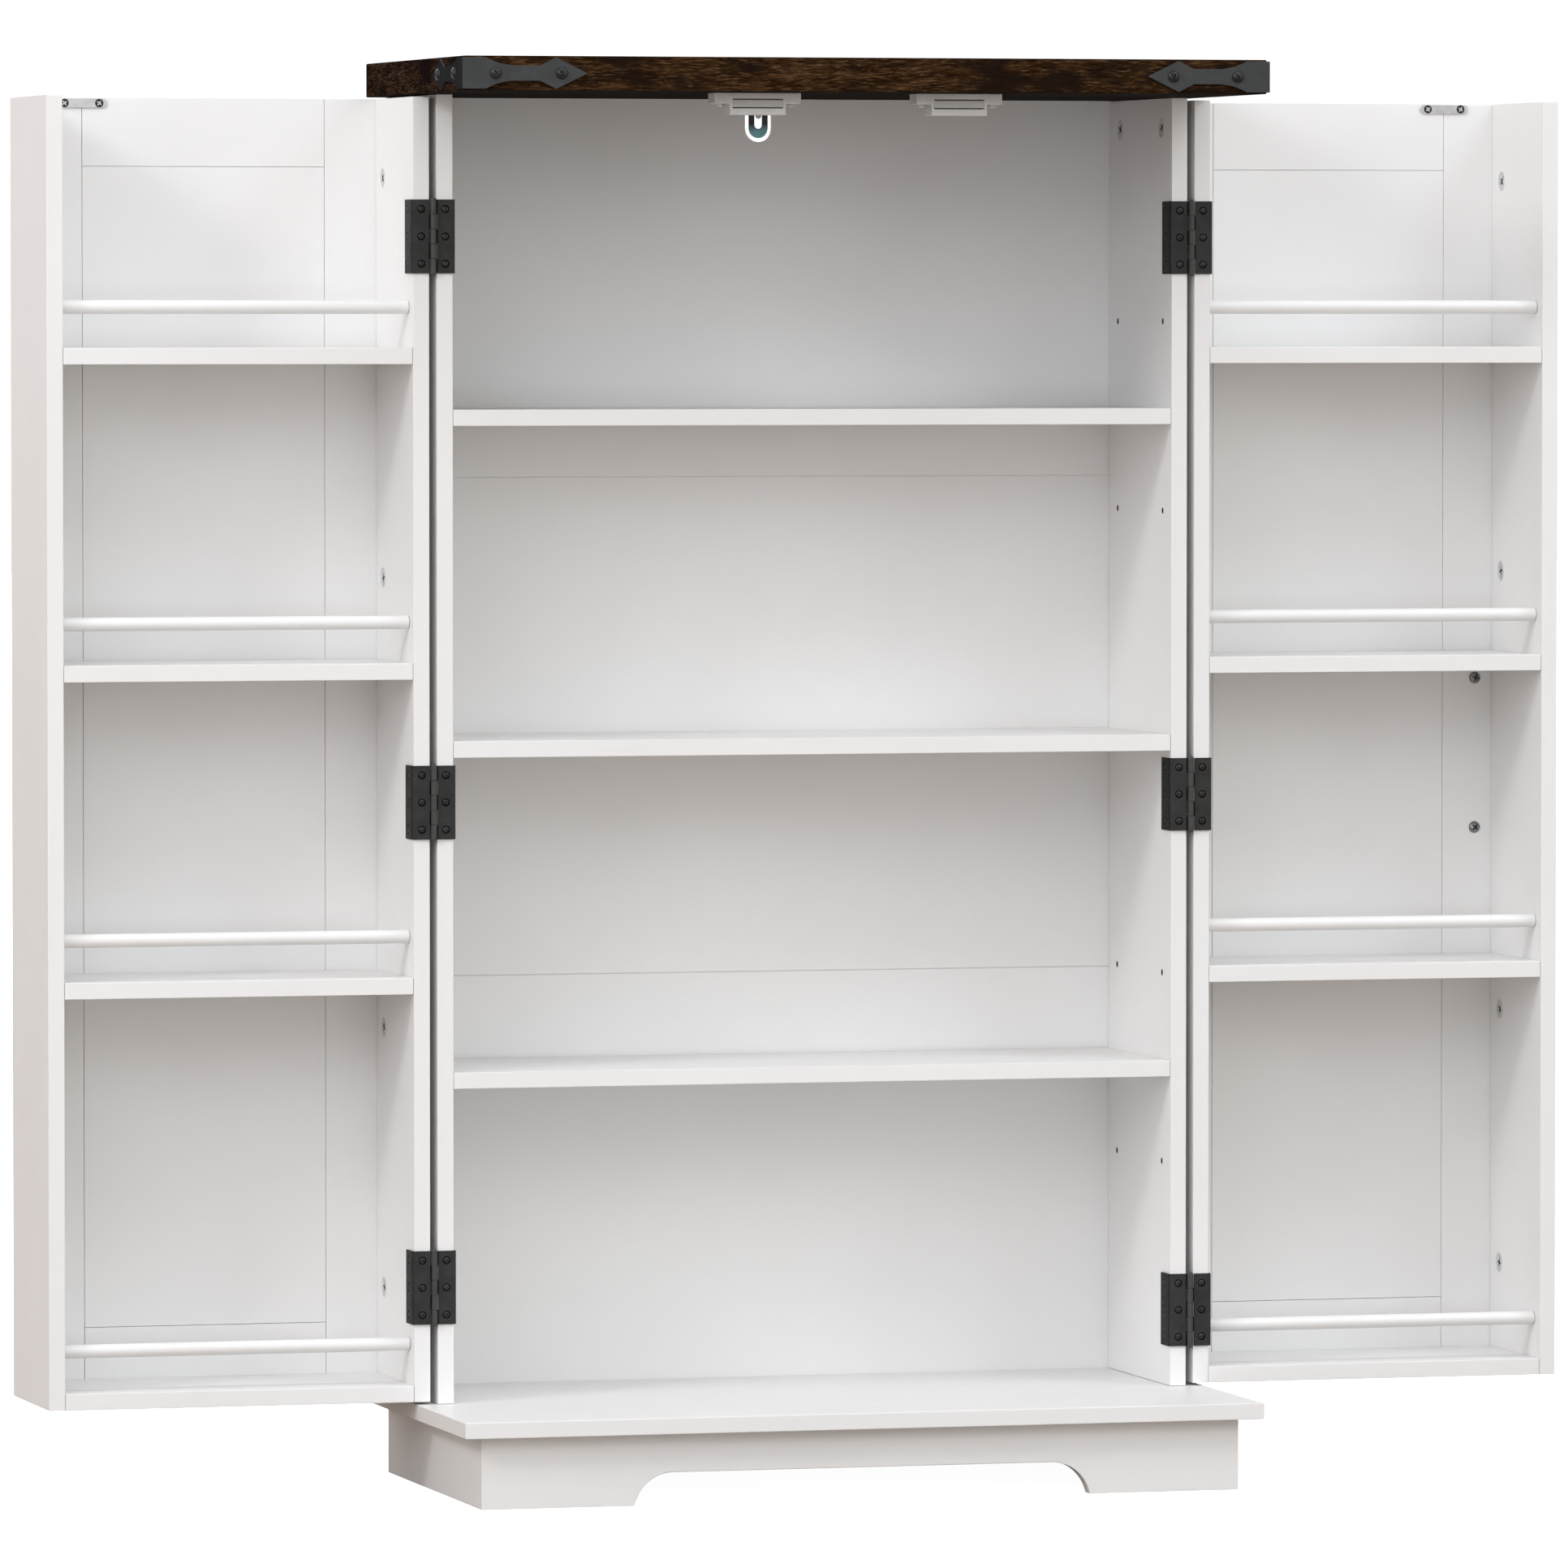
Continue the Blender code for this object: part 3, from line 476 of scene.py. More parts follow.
def ring(shape, profile, sides, turn=None):
    """Adds a closed (radius, height) section turned about Z."""
    rings = []
    for radius, height in profile:
        points = [
            Vector((radius * cos(2 * pi * i / sides), radius * sin(2 * pi * i / sides), height))
            for i in range(sides)
        ]
        rings.append([shape.verts.new(turn @ point if turn else point) for point in points])
    for index, second in enumerate(rings):
        first = rings[index - 1]
        for i in range(sides):
            after = (i + 1) % sides
            shape.faces.new((first[i], first[after], second[after], second[i]))


def lathe_mesh(name, profile, sides, turn=None):
    shape = bmesh.new()
    lathe(shape, profile, sides, turn)
    return new_mesh(name, shape)


def carved(name, mesh, *steps):
    """The mesh after Booleans with other meshes. Each step is (operation, mesh)."""
    target = loose_object(name, mesh)
    helpers = []
    for operation, other in steps:
        helper = loose_object(name + "_tool", other)
        helpers.append(helper)
        modifier = target.modifiers.new(operation, "BOOLEAN")
        modifier.operation = operation
        modifier.solver = "EXACT"
        modifier.object = helper
        modifier.material_mode = "TRANSFER"
    graph = bpy.context.evaluated_depsgraph_get()
    made = bpy.data.meshes.new_from_object(target.evaluated_get(graph))
    made.name = name
    for obj in (target, *helpers):
        bpy.data.objects.remove(obj)
    return made


def with_material(mesh, material):
    mesh.materials.append(material)
    return mesh


def placed(name, template, places):
    """Joined copies of a mesh that stands along +Z. Each place is (point, direction, spin)."""
    shape = bmesh.new()
    for point, direction, spin in places:
        turn = Vector(direction).to_track_quat("Z", "Y").to_matrix().to_4x4()
        before = len(shape.verts)
        shape.from_mesh(template)
        shape.verts.ensure_lookup_table()
        matrix = Matrix.Translation(Vector(point)) @ turn @ Matrix.Rotation(spin, 4, "Z")
        bmesh.ops.transform(shape, matrix=matrix, verts=shape.verts[before:])
    mesh = bpy.data.meshes.new(name)
    shape.to_mesh(mesh)
    shape.free()
    for material in template.materials:
        mesh.materials.append(material)
    return mesh


def soften(obj, width, angle=38):
    """Rounds the edges sharper than the angle. The weld joins corners that flat shading split."""
    weld = obj.modifiers.new("weld", "WELD")
    weld.merge_threshold = 1e-6
    bevel = obj.modifiers.new("soft_edges", "BEVEL")
    bevel.width = width
    bevel.segments = 2
    bevel.limit_method = "ANGLE"
    bevel.angle_limit = radians(angle)
    bevel.use_clamp_overlap = True


def add_piece(name, mesh, body, slot, material=None, nodes=(), bevel=None, smooth=None):
    """A named piece that rides on a body and may stand for CAD nodes.

    bevel is the width of its rounded edges, and smooth the angle below which faces blend.
    """
    piece = loose_object(name, mesh)
    mesh.name = name
    if not any(mesh.materials):
        mesh.materials.clear()
        mesh.materials.append(material or FINISH[slot])
    if smooth:
        mesh.shade_smooth()
        mesh.set_sharp_from_angle(angle=radians(smooth))
    if bevel:
        soften(piece, bevel)
    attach(piece, body)
    if nodes:
        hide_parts(*nodes)


# Screws, each standing along +Z with its seat at height 0


def screw_mesh(name, profile, reach, width, depth, top, material, recess=None, sides=28):
    """A turned screw head with a cross recess; the recess may take a second colour.

    reach, width and depth are the recess's, and top is the height of the head's crown.
    """
    body = with_material(lathe_mesh(name, profile, sides), material)
    steps = []
    for turn in (0, pi / 2):
        matrix = Matrix.Rotation(turn, 3, "Z")
        foot = 0.45 * reach
        outline = [(-reach, top), (-foot, top - depth), (foot, top - depth), (reach, top)]
        outline += [(reach, top + depth), (-reach, top + depth)]
        blade = prism_mesh(
            "blade", outline, -width / 2, width / 2, lambda u, v, w: matrix @ Vector((u, w, v))
        )
        steps.append(("DIFFERENCE", with_material(blade, recess or material)))
    made = carved(name, body, *steps)
    made.shade_smooth()
    made.set_sharp_from_angle(angle=radians(40))
    return made


def dome(radius, height, foot, steps=7):
    """Profile of a domed head, from its crown to the end of a short shank below its seat."""
    angles = [pi / 2 * step / steps for step in range(steps + 1)]
    crown = [(radius * sin(a), height * cos(a)) for a in angles]
    crown[0] = (0, height)
    return [*crown, (radius, 0), (0.45 * radius, 0), (0.45 * radius, -foot), (0, -foot)]


BRACKET_SCREW = screw_mesh(
    "bracket_screw",
    dome(4.35 * MM, 2.4 * MM, 6 * MM),
    2.5 * MM,
    0.9 * MM,
    1.5 * MM,
    2.4 * MM,
    BLACK_ZINC_AND_PAINTED_SHADE,
)
HINGE_SCREW = screw_mesh(
    "hinge_screw",
    [(0, 0.15 * MM), (1.3 * MM, 0.12 * MM), (1.9 * MM, 0.0), (2.15 * MM, -0.2 * MM)]
    + [(1.3 * MM, -1.1 * MM), (1.3 * MM, -6 * MM), (0, -7.5 * MM)],
    1.5 * MM,
    0.55 * MM,
    0.9 * MM,
    0.25 * MM,
    DARK_ZINC,
)
STRIKE_SCREW = screw_mesh(
    "strike_screw",
    dome(3.2 * MM, 0.22 * MM, 6 * MM),
    1.9 * MM,
    0.9 * MM,
    0.35 * MM,
    0.22 * MM,
    BLACK,
    BARE_RECESS,
)
CATCH_SCREW = screw_mesh(
    "catch_screw", dome(3.4 * MM, 2.7 * MM, 4 * MM), 2.0 * MM, 0.8 * MM, 1.4 * MM, 2.7 * MM, ZINC
)
# Its cross recess is black: painted shade in the recess.
HANDLE_SCREW = screw_mesh(
    "handle_screw",
    dome(4.5 * MM, 2.3 * MM, 6 * MM),
    3.0 * MM,
    1.2 * MM,
    1.6 * MM,
    2.3 * MM,
    GREY_STEEL,
    BLACK_ZINC_AND_PAINTED_SHADE,
)
TIP_SCREW = screw_mesh(
    "tip_screw", dome(2.3 * MM, 1.4 * MM, 2.4 * MM), 1.3 * MM, 0.55 * MM, 0.8 * MM, 1.4 * MM, ZINC
)


def cam_mesh():
    """A round cam fitting whose face is just below the board's: rim, cross recess and arrow."""
    profile = [(0, -0.4 * MM), (6.2 * MM, -0.4 * MM), (6.5 * MM, -0.25 * MM)]
    profile += [(7.0 * MM, -0.25 * MM), (7.25 * MM, -0.5 * MM), (7.25 * MM, -9.0 * MM)]
    profile.append((0, -9.0 * MM))
    body = with_material(lathe_mesh("cam", profile, 40), DULL_ZINC)
    steps = []
    # The cross recess and the arrow are cut in black: painted shade in them.
    for turn in (0, pi / 2):
        matrix = Matrix.Rotation(turn, 3, "Z")
        outline = [(-3.4 * MM, -0.3 * MM), (-1.6 * MM, -3.2 * MM), (1.6 * MM, -3.2 * MM)]
        outline += [(3.4 * MM, -0.3 * MM), (3.4 * MM, 1 * MM), (-3.4 * MM, 1 * MM)]
        blade = prism_mesh(
            "blade", outline, -0.75 * MM, 0.75 * MM, lambda u, v, w: matrix @ Vector((u, w, v))
        )
        steps.append(("DIFFERENCE", with_material(blade, BLACK_ZINC_AND_PAINTED_SHADE)))
    arrow = [(4.3 * MM, 0.9 * MM), (4.3 * MM, -0.9 * MM), (5.7 * MM, 0)]
    tip = prism_mesh("arrow", arrow, -0.8 * MM, 1 * MM, lambda u, v, w: Vector((u, v, w)))
    steps.append(("DIFFERENCE", with_material(tip, BLACK_ZINC_AND_PAINTED_SHADE)))
    made = carved("cam", body, *steps)
    made.shade_smooth()
    made.set_sharp_from_angle(angle=radians(30))
    return made


CAM = cam_mesh()

# Boards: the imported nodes, softened and painted

SOFT = {
    "top_board": 0.0009,
    "bottom_board": 0.0007,
    "plinth_front": 0.0006,
    "back_lower": 0.0002,
    "back_middle": 0.0002,
    "back_upper": 0.0002,
}
for subpart in frame["record"]["subparts"]:
    node = frame["nodes"][subpart["node"]]
    material = FINISH[subpart["material_slot"]]
    if not node.material_slots:
        node.data.materials.append(material)
    for place in node.material_slots:
        place.material = material
    thin = subpart["material_slot"] not in ("white_paint", "rustic_wood")
    panel = subpart["node"].endswith("_door_panel")
    width = SOFT.get(subpart["node"], 0.0002 if panel or thin else 0.0005)
    soften(node, width, angle=50)
for place in frame["nodes"]["anti_tip_bracket"].material_slots:
    place.material = BLUE_ZINC


# Carcass


def add_brackets():
    """The folded plate without its screw heads, in softened metal, and four screws."""
    for side, sign in SIDES.items():
        node = f"corner_bracket_{side}"
        top_low, top_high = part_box("top_board")
        middle = (top_low.z + top_high.z) / 2
        thick = 1.5 * MM
        corner = Vector((sign * (top_high.x + GAP + thick), top_low.y - GAP - thick, middle))
        run, rise, start = 22.5 * MM, 5.8 * MM, 17.5 * MM
        radius = (run * run + rise * rise) / (2 * rise)
        sweep = 180 / pi * atan2(run, radius - rise)
        curve = arc((40 * MM, 5.5 * MM + radius), radius, 270 - sweep, 270, 12)
        upper = [(0, 11.3 * MM), (start, 11.3 * MM), *curve[1:]]
        upper += [(58 * MM, 5.5 * MM), (69.5 * MM, 11.3 * MM)]
        outline = [*upper, (93 * MM, 0), *[(u, -v) for u, v in reversed(upper)]]
        front = prism_mesh(
            "front", outline, 0, thick, lambda u, v, w: corner + Vector((-sign * u, w, v))
        )
        arm = prism_mesh(
            "arm", outline, 0, thick, lambda u, v, w: corner + Vector((-sign * w, u, v))
        )
        plate = carved(node + "_plate", front, ("UNION", arm))
        add_piece(node + "_plate", plate, "carcass", "slate_metal", nodes=[node], bevel=0.0003)
        spins = (0.5, 1.1, 0.2, 0.8)
        places = []
        for index, reach in enumerate(BRACKET_SCREW_REACH):
            places.append((corner + Vector((-sign * reach, 0, 0)), FORWARD, spins[index]))
            places.append((corner + Vector((0, reach, 0)), (sign, 0, 0), spins[2 + index]))
        screws = placed(node + "_screws", BRACKET_SCREW, places)
        add_piece(node + "_screws", screws, "carcass", "black_metal", nodes=[node])


def add_catches():
    """Moulded housing with ears and a pocket, a magnet between two pole plates, and two screws."""
    for side, sign in SIDES.items():
        node = f"magnet_catch_{side}"
        low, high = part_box(node)
        middle = (low.x + high.x) / 2
        front, back, top = low.y, high.y, high.z
        ear = 7.8 * MM
        half = 21 * MM
        shape = bmesh.new()
        start, end = middle - half, middle + half
        outline = [(low.x, top), (low.x, top - ear), (start, top - ear), (start, low.z)]
        outline += [(end, low.z), (end, top - ear), (high.x, top - ear), (high.x, top)]
        prism(shape, outline, front, back, lambda u, v, w: Vector((u, w, v)))
        body = new_mesh("housing", shape)
        cuts = bmesh.new()
        box(
            cuts,
            (middle - 18.9 * MM, front - MM, top - 4.2 * MM),
            (middle + 18.9 * MM, front + 9 * MM, top - 11.2 * MM),
        )
        name = node + "_housing"
        housing = carved(name, body, ("DIFFERENCE", new_mesh("cuts", cuts)))
        add_piece(name, housing, "carcass", "catch_plastic", nodes=[node], bevel=0.0004)
        magnet = box_mesh(
            "magnet",
            (middle - 18.88 * MM, front + 0.15 * MM, top - 5.0 * MM),
            (middle + 18.88 * MM, front + 8.8 * MM, top - 10.4 * MM),
        )
        add_piece(node + "_magnet", magnet, "carcass", "catch_plastic", CERAMIC, bevel=0.0003)
        # The pole plates are black: painted shade in the thin slots above and below the magnet.
        for name, height in (("upper", top - 4.6 * MM), ("lower", top - 10.8 * MM)):
            plate = box_mesh(
                "plate",
                (middle - 18.5 * MM, front + 0.35 * MM, height - 0.3 * MM),
                (middle + 18.5 * MM, front + 8.8 * MM, height + 0.3 * MM),
            )
            add_piece(f"{node}_{name}_pole", plate, "carcass", "steel", BLACK_ZINC_AND_PAINTED_SHADE, bevel=0.0001)
        places = [
            ((middle + end * CATCH_SCREW_X, front + 5.2 * MM, top - ear), DOWN, 0.4 + end)
            for end in (-1, 1)
        ]
        screws = placed(node + "_screws", CATCH_SCREW, places)
        add_piece(node + "_screws", screws, "carcass", "steel")


def add_pin_hole_linings(side, sign, face):
    """Raw board inside the empty pin holes, which are above and below each loose shelf's pins. Its dark tone is
    partly painted shade in the holes.
    """
    profile = [(0, -7.2 * MM), (2.05 * MM, -7.2 * MM), (2.05 * MM, -0.25 * MM)]
    profile += [(2.4 * MM, -0.25 * MM), (2.4 * MM, -7.6 * MM), (0, -7.6 * MM)]
    lining = lathe_mesh("lining", profile, 20)
    places = []
    for shelf in ("lower", "upper"):
        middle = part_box(f"shelf_{shelf}")[0].z + SHELF_HALF
        for height in (middle - PIN_ROW_STEP, middle + PIN_ROW_STEP):
            places += [((face, y, height), (-sign, 0, 0), 0) for y in PIN_Y]
    mesh = placed("linings", lining, places)
    add_piece(f"side_{side}_pin_linings", mesh, "carcass", "white_paint", RAW_BOARD_AND_PAINTED_SHADE, smooth=40)


def add_carcass_fixings():
    """Cam fittings at the top of each side, pins under the loose shelves, and the strap's screw."""
    for side, sign in SIDES.items():
        low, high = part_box(f"side_{side}")
        face = low.x if sign > 0 else high.x
        cams = [((face, y, TOP_CAM_Z), (-sign, 0, 0), 0.35 + 5 * y) for y in TOP_CAM_Y]
        add_piece(f"side_{side}_cams", placed("cams", CAM, cams), "carcass", "steel")
        profile = [(0, 7.6 * MM), (2.0 * MM, 7.6 * MM), (2.4 * MM, 7.2 * MM), (2.4 * MM, -7.3 * MM)]
        profile += [(2.1 * MM, -7.7 * MM), (0, -7.7 * MM)]
        pin = lathe_mesh("pin", profile, 20)
        for shelf in ("lower", "upper"):
            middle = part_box(f"shelf_{shelf}")[0].z + SHELF_HALF
            places = [((face, y, middle), (-sign, 0, 0), 0) for y in PIN_Y]
            pins = placed("pins", pin, places)
            add_piece(f"shelf_{shelf}_pins_{side}", pins, "carcass", "steel", ZINC, smooth=40)
        add_pin_hole_linings(side, sign, face)
    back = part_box("anti_tip_bracket")[1].y
    place = (0, back - 1.5 * MM, ANTI_TIP_SCREW_Z)
    screw = placed("screw", TIP_SCREW, [(place, FORWARD, 0.6)])
    add_piece("anti_tip_screw", screw, "carcass", "steel")


# Doors


def door_places(side, sign):
    """Door's frame box, and a function that turns a distance from the hinge edge into X."""
    low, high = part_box(f"{side}_door_frame")
    edge = high.x if sign < 0 else low.x
    return low, high, lambda distance: edge + sign * distance


def add_door_frame(side, sign):
    """Two full-height stiles and two rails coped between them, rebated for the panel."""
    low, high, across = door_places(side, sign)
    body = f"{side}_door"
    node = f"{side}_door_frame"
    width = high.x - low.x
    inside, outside = low.y, high.y
    step = inside + LIP + GAP
    outline = [(0, inside), (STILE, inside), (STILE, step), (STILE + LIP, step)]
    outline += [(STILE + LIP, outside), (0, outside)]
    for name, start, facing in (("hinge", 0, 1), ("free", width, -1)):
        mesh = prism_mesh(
            "stile",
            outline,
            low.z,
            high.z,
            lambda u, v, w: Vector((across(start + facing * u), v, w)),
        )
        piece = f"{side}_door_stile_{name}"
        add_piece(piece, mesh, body, "white_paint", nodes=[node], bevel=0.0003)
    seam = 0.35 * MM
    for name, base, facing in (("bottom", low.z, 1), ("top", high.z, -1)):
        inner = box_mesh(
            "inner",
            (across(STILE + seam), inside, base),
            (across(width - STILE - seam), step, base + facing * RAIL),
        )
        outer = box_mesh(
            "outer",
            (across(STILE + LIP + seam), step - 0.5 * MM, base),
            (across(width - STILE - LIP - seam), outside, base + facing * RAIL),
        )
        edge = box_mesh(
            "lip",
            (across(STILE + LIP + seam), step, base + facing * (RAIL - MM)),
            (across(width - STILE - LIP - seam), outside, base + facing * (RAIL + LIP)),
        )
        mesh = carved("rail", inner, ("UNION", outer), ("UNION", edge))
        add_piece(f"{side}_door_rail_{name}", mesh, body, "white_paint", nodes=[node], bevel=0.0003)


def add_rods(side, sign):
    """Turned guard rods, smooth all round, with slightly eased ends and spigots."""
    for tier in TIERS:
        node = f"{side}_door_rod_{tier}"
        low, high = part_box(node)
        centre = (low + high) / 2
        wall_low, wall_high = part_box(f"{side}_door_hinge_wall")
        free_low, free_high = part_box(f"{side}_door_free_wall")
        faces = (wall_high.x, free_low.x) if sign > 0 else (free_high.x, wall_low.x)
        start, end = low.x, high.x
        body_start = max(start, faces[0] + GAP)
        body_end = min(end, faces[1] - GAP)
        radius, spigot, ease = 5 * MM, 2.5 * MM, 0.4 * MM
        profile = [(0, start)]
        if start < faces[0]:
            profile += [(spigot, start), (spigot, body_start)]
        profile += [(radius - ease, body_start), (radius, body_start + ease)]
        profile += [(radius, body_end - ease), (radius - ease, body_end)]
        if end > faces[1]:
            profile += [(spigot, body_end), (spigot, end)]
        profile += [(0, end)]
        turn = Matrix.Translation((0, centre.y, centre.z)) @ Matrix.Rotation(pi / 2, 4, "Y")
        mesh = lathe_mesh("rod", profile, 36, turn)
        add_piece(f"{node}_turned", mesh, f"{side}_door", "white_paint", nodes=[node], smooth=40)


def add_strike_plate(side):
    """A steel plate with round ends, and two black cross-head screws with bright recesses."""
    node = f"{side}_door_strike_plate"
    low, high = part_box(node)
    centre = (low + high) / 2
    radius = (high.z - low.z) / 2
    run = (high.x - low.x) / 2 - radius
    outline = arc((run, 0), radius, -90, 90, 14) + arc((-run, 0), radius, 90, 270, 14)
    mesh = prism_mesh(
        "plate", outline, low.y, high.y, lambda u, v, w: Vector((centre.x + u, w, centre.z + v))
    )
    add_piece(f"{node}_steel", mesh, f"{side}_door", "steel", nodes=[node], bevel=0.0002)
    places = [
        ((centre.x + end * STRIKE_SCREW_X, low.y, centre.z), FORWARD, 0.78 + 0.15 * end)
        for end in (-1, 1)
    ]
    screws = placed("screws", STRIKE_SCREW, places)
    add_piece(f"{node}_screws", screws, f"{side}_door", "black_metal")


def sweep_tube(shape, points, radius, sides=24):
    """Adds a round tube along points that lie in one plane of constant x."""
    rings = []
    for index, point in enumerate(points):
        before = points[max(index - 1, 0)]
        after = points[min(index + 1, len(points) - 1)]
        along = (after - before).normalized()
        side = Vector((1, 0, 0))
        up = along.cross(side)
        rings.append(
            [
                shape.verts.new(
                    point + radius * (cos(2 * pi * i / sides) * side + sin(2 * pi * i / sides) * up)
                )
                for i in range(sides)
            ]
        )
    for first, second in zip(rings, rings[1:]):
        for i in range(sides):
            after = (i + 1) % sides
            shape.faces.new((first[i], first[after], second[after], second[i]))
    shape.faces.new(rings[0])
    shape.faces.new(rings[-1])


def add_handle(side):
    """A bent round bar with a collar at each foot, and its two screws inside the door."""
    node = f"{side}_door_handle"
    low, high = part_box(node)
    frame_low, frame_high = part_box(f"{side}_door_frame")
    x = (low.x + high.x) / 2
    middle = (low.z + high.z) / 2
    half = HANDLE_SCREW_SPAN / 2
    radius, bend = 5 * MM, 12 * MM
    base = low.y + 0.5 * MM
    out = high.y - radius
    points = [Vector((x, base, middle + half))]
    corner = arc((out - bend, half - bend), bend, 90, 0, 12)
    points += [Vector((x, y, middle + z)) for y, z in corner]
    points += [Vector((x, y, middle - z)) for y, z in reversed(corner)]
    points.append(Vector((x, base, middle - half)))
    shape = bmesh.new()
    sweep_tube(shape, points, radius)
    bar = new_mesh("bar", shape)
    steps = []
    collar = [(0, 0), (7.6 * MM, 0), (8 * MM, 0.4 * MM), (8 * MM, 1.9 * MM), (7.2 * MM, 2.7 * MM)]
    collar += [(5.6 * MM, 3 * MM), (0, 3 * MM)]
    for end in (-1, 1):
        foot = Matrix.Translation((x, low.y, middle + end * half))
        turn = foot @ Matrix.Rotation(-pi / 2, 4, "X")
        steps.append(("UNION", lathe_mesh("collar", collar, 36, turn)))
    mesh = carved("handle", bar, *steps)
    add_piece(f"{node}_bar", mesh, f"{side}_door", "black_metal", nodes=[node], smooth=35)
    places = [((x, frame_low.y, middle + end * half), FORWARD, 0.3 + end) for end in (-1, 1)]
    screws = placed("screws", HANDLE_SCREW, places)
    add_piece(f"{side}_door_handle_screws", screws, f"{side}_door", "steel")


def add_door_cams(side, sign):
    """Four cam fittings in each wall of the door, facing into it."""
    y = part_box(f"{side}_door_frame")[0].y - DOOR_CAM_FROM_PANEL
    for wall, facing in (("hinge_wall", sign), ("free_wall", -sign)):
        low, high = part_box(f"{side}_door_{wall}")
        face = high.x if facing > 0 else low.x
        places = [((face, y, z), (facing, 0, 0), 0.3 + 7 * z) for z in DOOR_CAM_Z]
        cams = placed("cams", CAM, places)
        add_piece(f"{side}_door_{wall}_cams", cams, f"{side}_door", "steel")


# Hinges

LEAF = {"near": 2.9 * MM, "far": 15.2 * MM, "thick": 1.2 * MM, "face": 0.3 * MM, "wrap": 21.3 * MM}
HINGE_HALF = 27 * MM
KNUCKLE_STEP = 2 * HINGE_HALF / 5


def leaf_shape(direction, on_door):
    """One leaf about the hinge's axis and middle: bent plate, countersunk holes and knuckles."""
    near, far, thick, face = LEAF["near"] + 0.3 * MM, LEAF["far"], LEAF["thick"], LEAF["face"]
    radius, edge = 2.25 * MM, 2.1 * MM
    outer = far + thick
    bend = arc((outer - thick, face + thick), thick, -90, 0, 5)
    outline = [(near, face), *bend, (outer, LEAF["wrap"]), (far, LEAF["wrap"]), (far, face + thick)]
    outline += [(near, face + thick)]
    plate = prism_mesh(
        "plate", outline, -HINGE_HALF, HINGE_HALF, lambda u, v, w: Vector((direction * u, v, w))
    )
    with_material(plate, BLACK)
    steps = []
    start = 1 if on_door else 0
    for index in range(start, 5, 2):
        low = index * KNUCKLE_STEP - HINGE_HALF + GAP / 2
        high = low + KNUCKLE_STEP - GAP
        reach = 1.95 * MM if on_door else 1 * MM
        tab = box_mesh(
            "tab",
            (direction * reach, face + 0.3 * MM, low),
            (direction * (near + GAP), face + thick, high),
        )
        # The tab is near black: painted shade in the gap beside the knuckle.
        steps.append(("UNION", with_material(tab, PAINTED_SHADE_BLACK)))
        if on_door:
            shape = bmesh.new()
            section = [(1.5 * MM, high), (edge, high), (radius, high - 0.15 * MM)]
            section += [(radius, low + 0.15 * MM), (edge, low), (1.5 * MM, low)]
            ring(shape, section, 28)
            # The knuckles are lighter than the leaf: a painted highlight.
            steps.append(("UNION", with_material(new_mesh("knuckle", shape), BLACK_PAINTED_HIGHLIGHT)))
    if not on_door:
        profile = [(0, HINGE_HALF + 1.6 * MM)]
        cap = [(edge * sin(a), 1.6 * MM * cos(a)) for a in (0.5, 1.0, pi / 2)]
        profile += [(out, HINGE_HALF + along) for out, along in cap]
        for index in (4, 2, 0):
            low = index * KNUCKLE_STEP - HINGE_HALF + GAP / 2
            high = low + KNUCKLE_STEP - GAP
            profile += [(edge, high), (radius, high - 0.15 * MM), (radius, low + 0.15 * MM)]
            profile += [(edge, low), (1.2 * MM, low), (1.2 * MM, low - KNUCKLE_STEP)]
        profile = profile[:-2]
        profile += [(out, -HINGE_HALF - along) for out, along in reversed(cap)]
        profile.append((0, -HINGE_HALF - 1.6 * MM))
        # The pin's knuckles are lighter than the leaf: a painted highlight.
        steps.append(("UNION", with_material(lathe_mesh("pin", profile, 28), BLACK_PAINTED_HIGHLIGHT)))
    # The countersinks are near black: painted shade round each screw head.
    sink = [(0, 1 * MM), (3.9 * MM, 1 * MM), (3.05 * MM, 0.02 * MM), (1.45 * MM, -1.1 * MM)]
    sink += [(1.45 * MM, -3 * MM), (0, -3 * MM)]
    sink_mesh = with_material(lathe_mesh("sink", sink, 24), PAINTED_SHADE_BLACK)
    steps.append(("DIFFERENCE", placed("sinks", sink_mesh, screw_places(direction))))
    return carved("leaf", plate, *steps)


def screw_places(direction):
    """Three screws in the leaf's front face and three in its wrap, about the hinge's middle."""
    face_x = direction * (LEAF["near"] + LEAF["far"]) / 2
    wrap_x = direction * (LEAF["far"] + LEAF["thick"])
    places = []
    for index, height in enumerate((-20 * MM, 0, 20 * MM)):
        places.append(((face_x, LEAF["face"], height), FORWARD, 0.9 * index))
        places.append(((wrap_x, 12.5 * MM, height), (direction, 0, 0), 0.4 + 0.9 * index))
    return places


def add_hinges(side, sign):
    """Three hinges about the door's axis, each with a leaf on the carcass and one on the door."""
    axis = {joint["name"]: joint for joint in frame["joints"]}[f"{side}_door_swing"]["pos_m"]
    for kind, direction, body in (("carcass", -sign, "carcass"), ("door", sign, f"{side}_door")):
        leaf = leaf_shape(direction, kind == "door")
        screws = placed("screws", HINGE_SCREW, screw_places(direction))
        for place in ("upper", "middle", "lower"):
            node = f"{side}_hinge_{place}_{kind}_leaf"
            low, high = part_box(node)
            centre = Matrix.Translation((axis[0], axis[1], (low.z + high.z) / 2))
            for suffix, mesh, replaced in (("plate", leaf, [node]), ("screws", screws, [])):
                copy = mesh.copy()
                copy.transform(centre)
                name = f"{side}_hinge_{place}_{kind}_{suffix}"
                smooth = 30 if suffix == "plate" else None
                add_piece(name, copy, body, "black_metal", nodes=replaced, smooth=smooth)


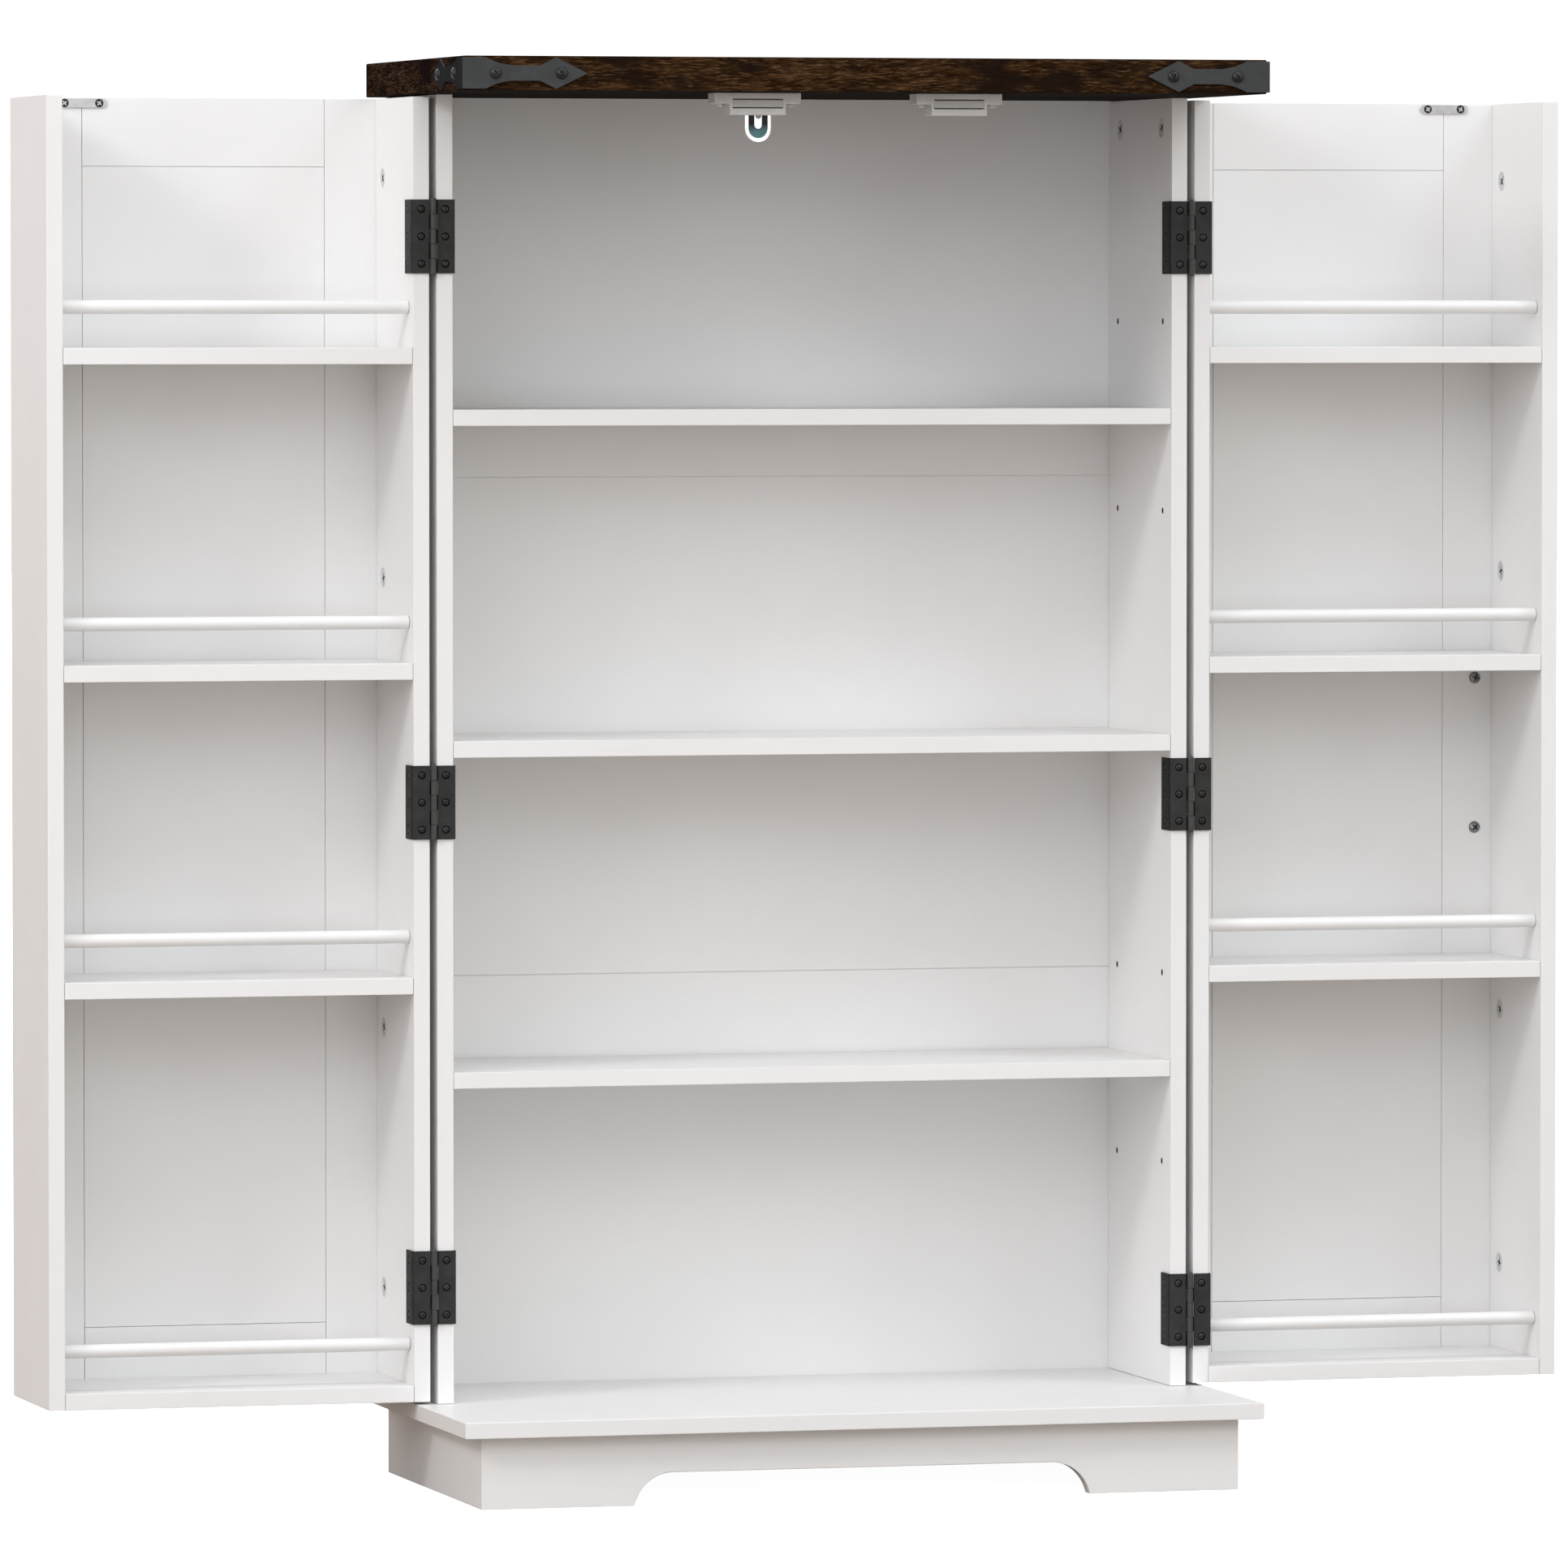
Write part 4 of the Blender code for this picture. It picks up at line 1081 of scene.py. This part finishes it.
def add_back_joints():
    """A thin strip set back in each joint between the back's boards."""
    for name, upper in (("lower", "back_middle"), ("upper", "back_upper")):
        low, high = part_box(upper)
        strip = box_mesh(
            "strip",
            (low.x + MM, low.y + 0.6 * MM, low.z - 0.55 * MM),
            (high.x - MM, high.y - 0.4 * MM, low.z - 0.05 * MM),
        )
        add_piece(f"back_joint_{name}", strip, "carcass", "white_paint", bevel=0.00005)


add_brackets()
add_back_joints()
add_catches()
add_carcass_fixings()
for SIDE, SIGN in SIDES.items():
    add_door_frame(SIDE, SIGN)
    add_rods(SIDE, SIGN)
    add_strike_plate(SIDE)
    add_handle(SIDE)
    add_door_cams(SIDE, SIGN)
    add_hinges(SIDE, SIGN)

# Studio

FRAME_PIXELS = 1932
FOCAL_PIXELS = 14671.9
SENSOR_WIDTH = 36
CAMERA_PLACE = (-2.3283, -8.4777, 0.8681)
CAMERA_PITCH, CAMERA_YAW = 87.7151, -15.2174  # degrees

# Each light's name, place, target, size, power and colour
LIGHTS = (
    ("key", (-1.0, -3.2, 9.4), (0, 0, 0.5), (4.0, 2.8), 125, (0.88, 0.95, 1.0)),
    ("high_right", (2.4, -2.4, 4.0), (0, 0, 0.5), (1.6, 1.4), 35, (0.82, 0.92, 1.0)),
    ("fill_left", (-3.2, -4.4, 2.9), (0, 0, 0.4), (2.4, 2.0), 40, (0.85, 0.93, 1.0)),
    ("fill_right", (3.2, -4.4, 2.9), (0, 0, 0.4), (2.4, 2.0), 13.5, (0.82, 0.93, 1.0)),
    ("low", (-0.6, -5.6, 0.35), (0, 0, 0.3), (3.0, 0.6), 23.5, (0.82, 0.94, 1.0)),
    ("side", (-4.4, -2.2, 3.3), (-0.3, 0, 0.2), (1.0, 1.0), 72, (0.99, 1.0, 1.0)),
    ("low_left", (-4.4, -3.0, 1.5), (0, 0, 0.5), (1.6, 1.2), 17.3, (1.0, 0.98, 1.0)),
    ("low_right", (4.4, -3.0, 1.5), (0, 0, 0.5), (1.6, 1.2), 24.5, (0.95, 1.0, 0.96)),
    ("back", (0.8, 5.2, 3.0), (0, 0, 0.5), (3.0, 2.4), 70, (0.96, 0.98, 1.0)),
)


def add_floor():
    """A pale floor. It bounces less light than the camera sees, so that it stays plain."""
    floor = loose_object("studio_floor", box_mesh("studio_floor", (-30, -30, -0.02), (30, 30, 0)))
    material, tree, shader = new_material("studio_floor")
    shader.inputs["Base Color"].default_value = (0.9, 0.9, 0.9, 1)
    shader.inputs["Roughness"].default_value = 0.9
    shader.inputs["Specular IOR Level"].default_value = 0.0
    shader.inputs["Emission Color"].default_value = (1, 1, 1, 1)
    shader.inputs["Emission Strength"].default_value = 0.97
    seen = shader.outputs["BSDF"]
    felt = shade(tree, "BsdfDiffuse", {"Color": (0.27, 0.215, 0.175, 1)}).outputs["BSDF"]
    path = shade(tree, "LightPath").outputs["Is Camera Ray"]
    blend = shade(tree, "MixShader", {0: path, 1: felt, 2: seen}).outputs["Shader"]
    tree.links.new(blend, tree.nodes["Material Output"].inputs["Surface"])
    floor.data.materials.append(material)


def add_world():
    """A plain pale backdrop, a little brighter to the camera than the light that it gives."""
    world = bpy.data.worlds.new("studio")
    bpy.context.scene.world = world
    world.use_nodes = True
    tree = world.node_tree
    background = tree.nodes["Background"]
    background.inputs["Color"].default_value = (1.0, 0.967, 0.966, 1)
    background.inputs["Strength"].default_value = 0.88
    bright = shade(tree, "Background", {"Color": (1, 1, 1, 1), "Strength": 1.05})
    path = shade(tree, "LightPath").outputs["Is Camera Ray"]
    inputs = {0: path, 1: background.outputs["Background"], 2: bright.outputs["Background"]}
    blend = shade(tree, "MixShader", inputs)
    tree.links.new(blend.outputs["Shader"], tree.nodes["World Output"].inputs["Surface"])


def add_light(name, place, target, size, power, colour):
    """A soft rectangular lamp that faces its target."""
    light = bpy.data.lights.new(name, "AREA")
    light.shape = "RECTANGLE"
    light.size, light.size_y = size
    light.energy = power
    light.color = colour
    lamp = bpy.data.objects.new(name, light)
    bpy.context.scene.collection.objects.link(lamp)
    lamp.location = place
    lamp.rotation_euler = (Vector(target) - Vector(place)).to_track_quat("-Z", "Y").to_euler()


def add_camera():
    """Looks slightly down and from the left, through a long lens."""
    data = bpy.data.cameras.new("camera")
    data.sensor_width = SENSOR_WIDTH
    data.lens = FOCAL_PIXELS * SENSOR_WIDTH / FRAME_PIXELS
    camera = bpy.data.objects.new("camera", data)
    bpy.context.scene.collection.objects.link(camera)
    camera.location = CAMERA_PLACE
    camera.rotation_euler = Euler((radians(CAMERA_PITCH), 0, radians(CAMERA_YAW)))
    bpy.context.scene.camera = camera


add_floor()
add_world()
for light in LIGHTS:
    add_light(*light)
add_camera()
bpy.context.scene.view_settings.view_transform = "Standard"
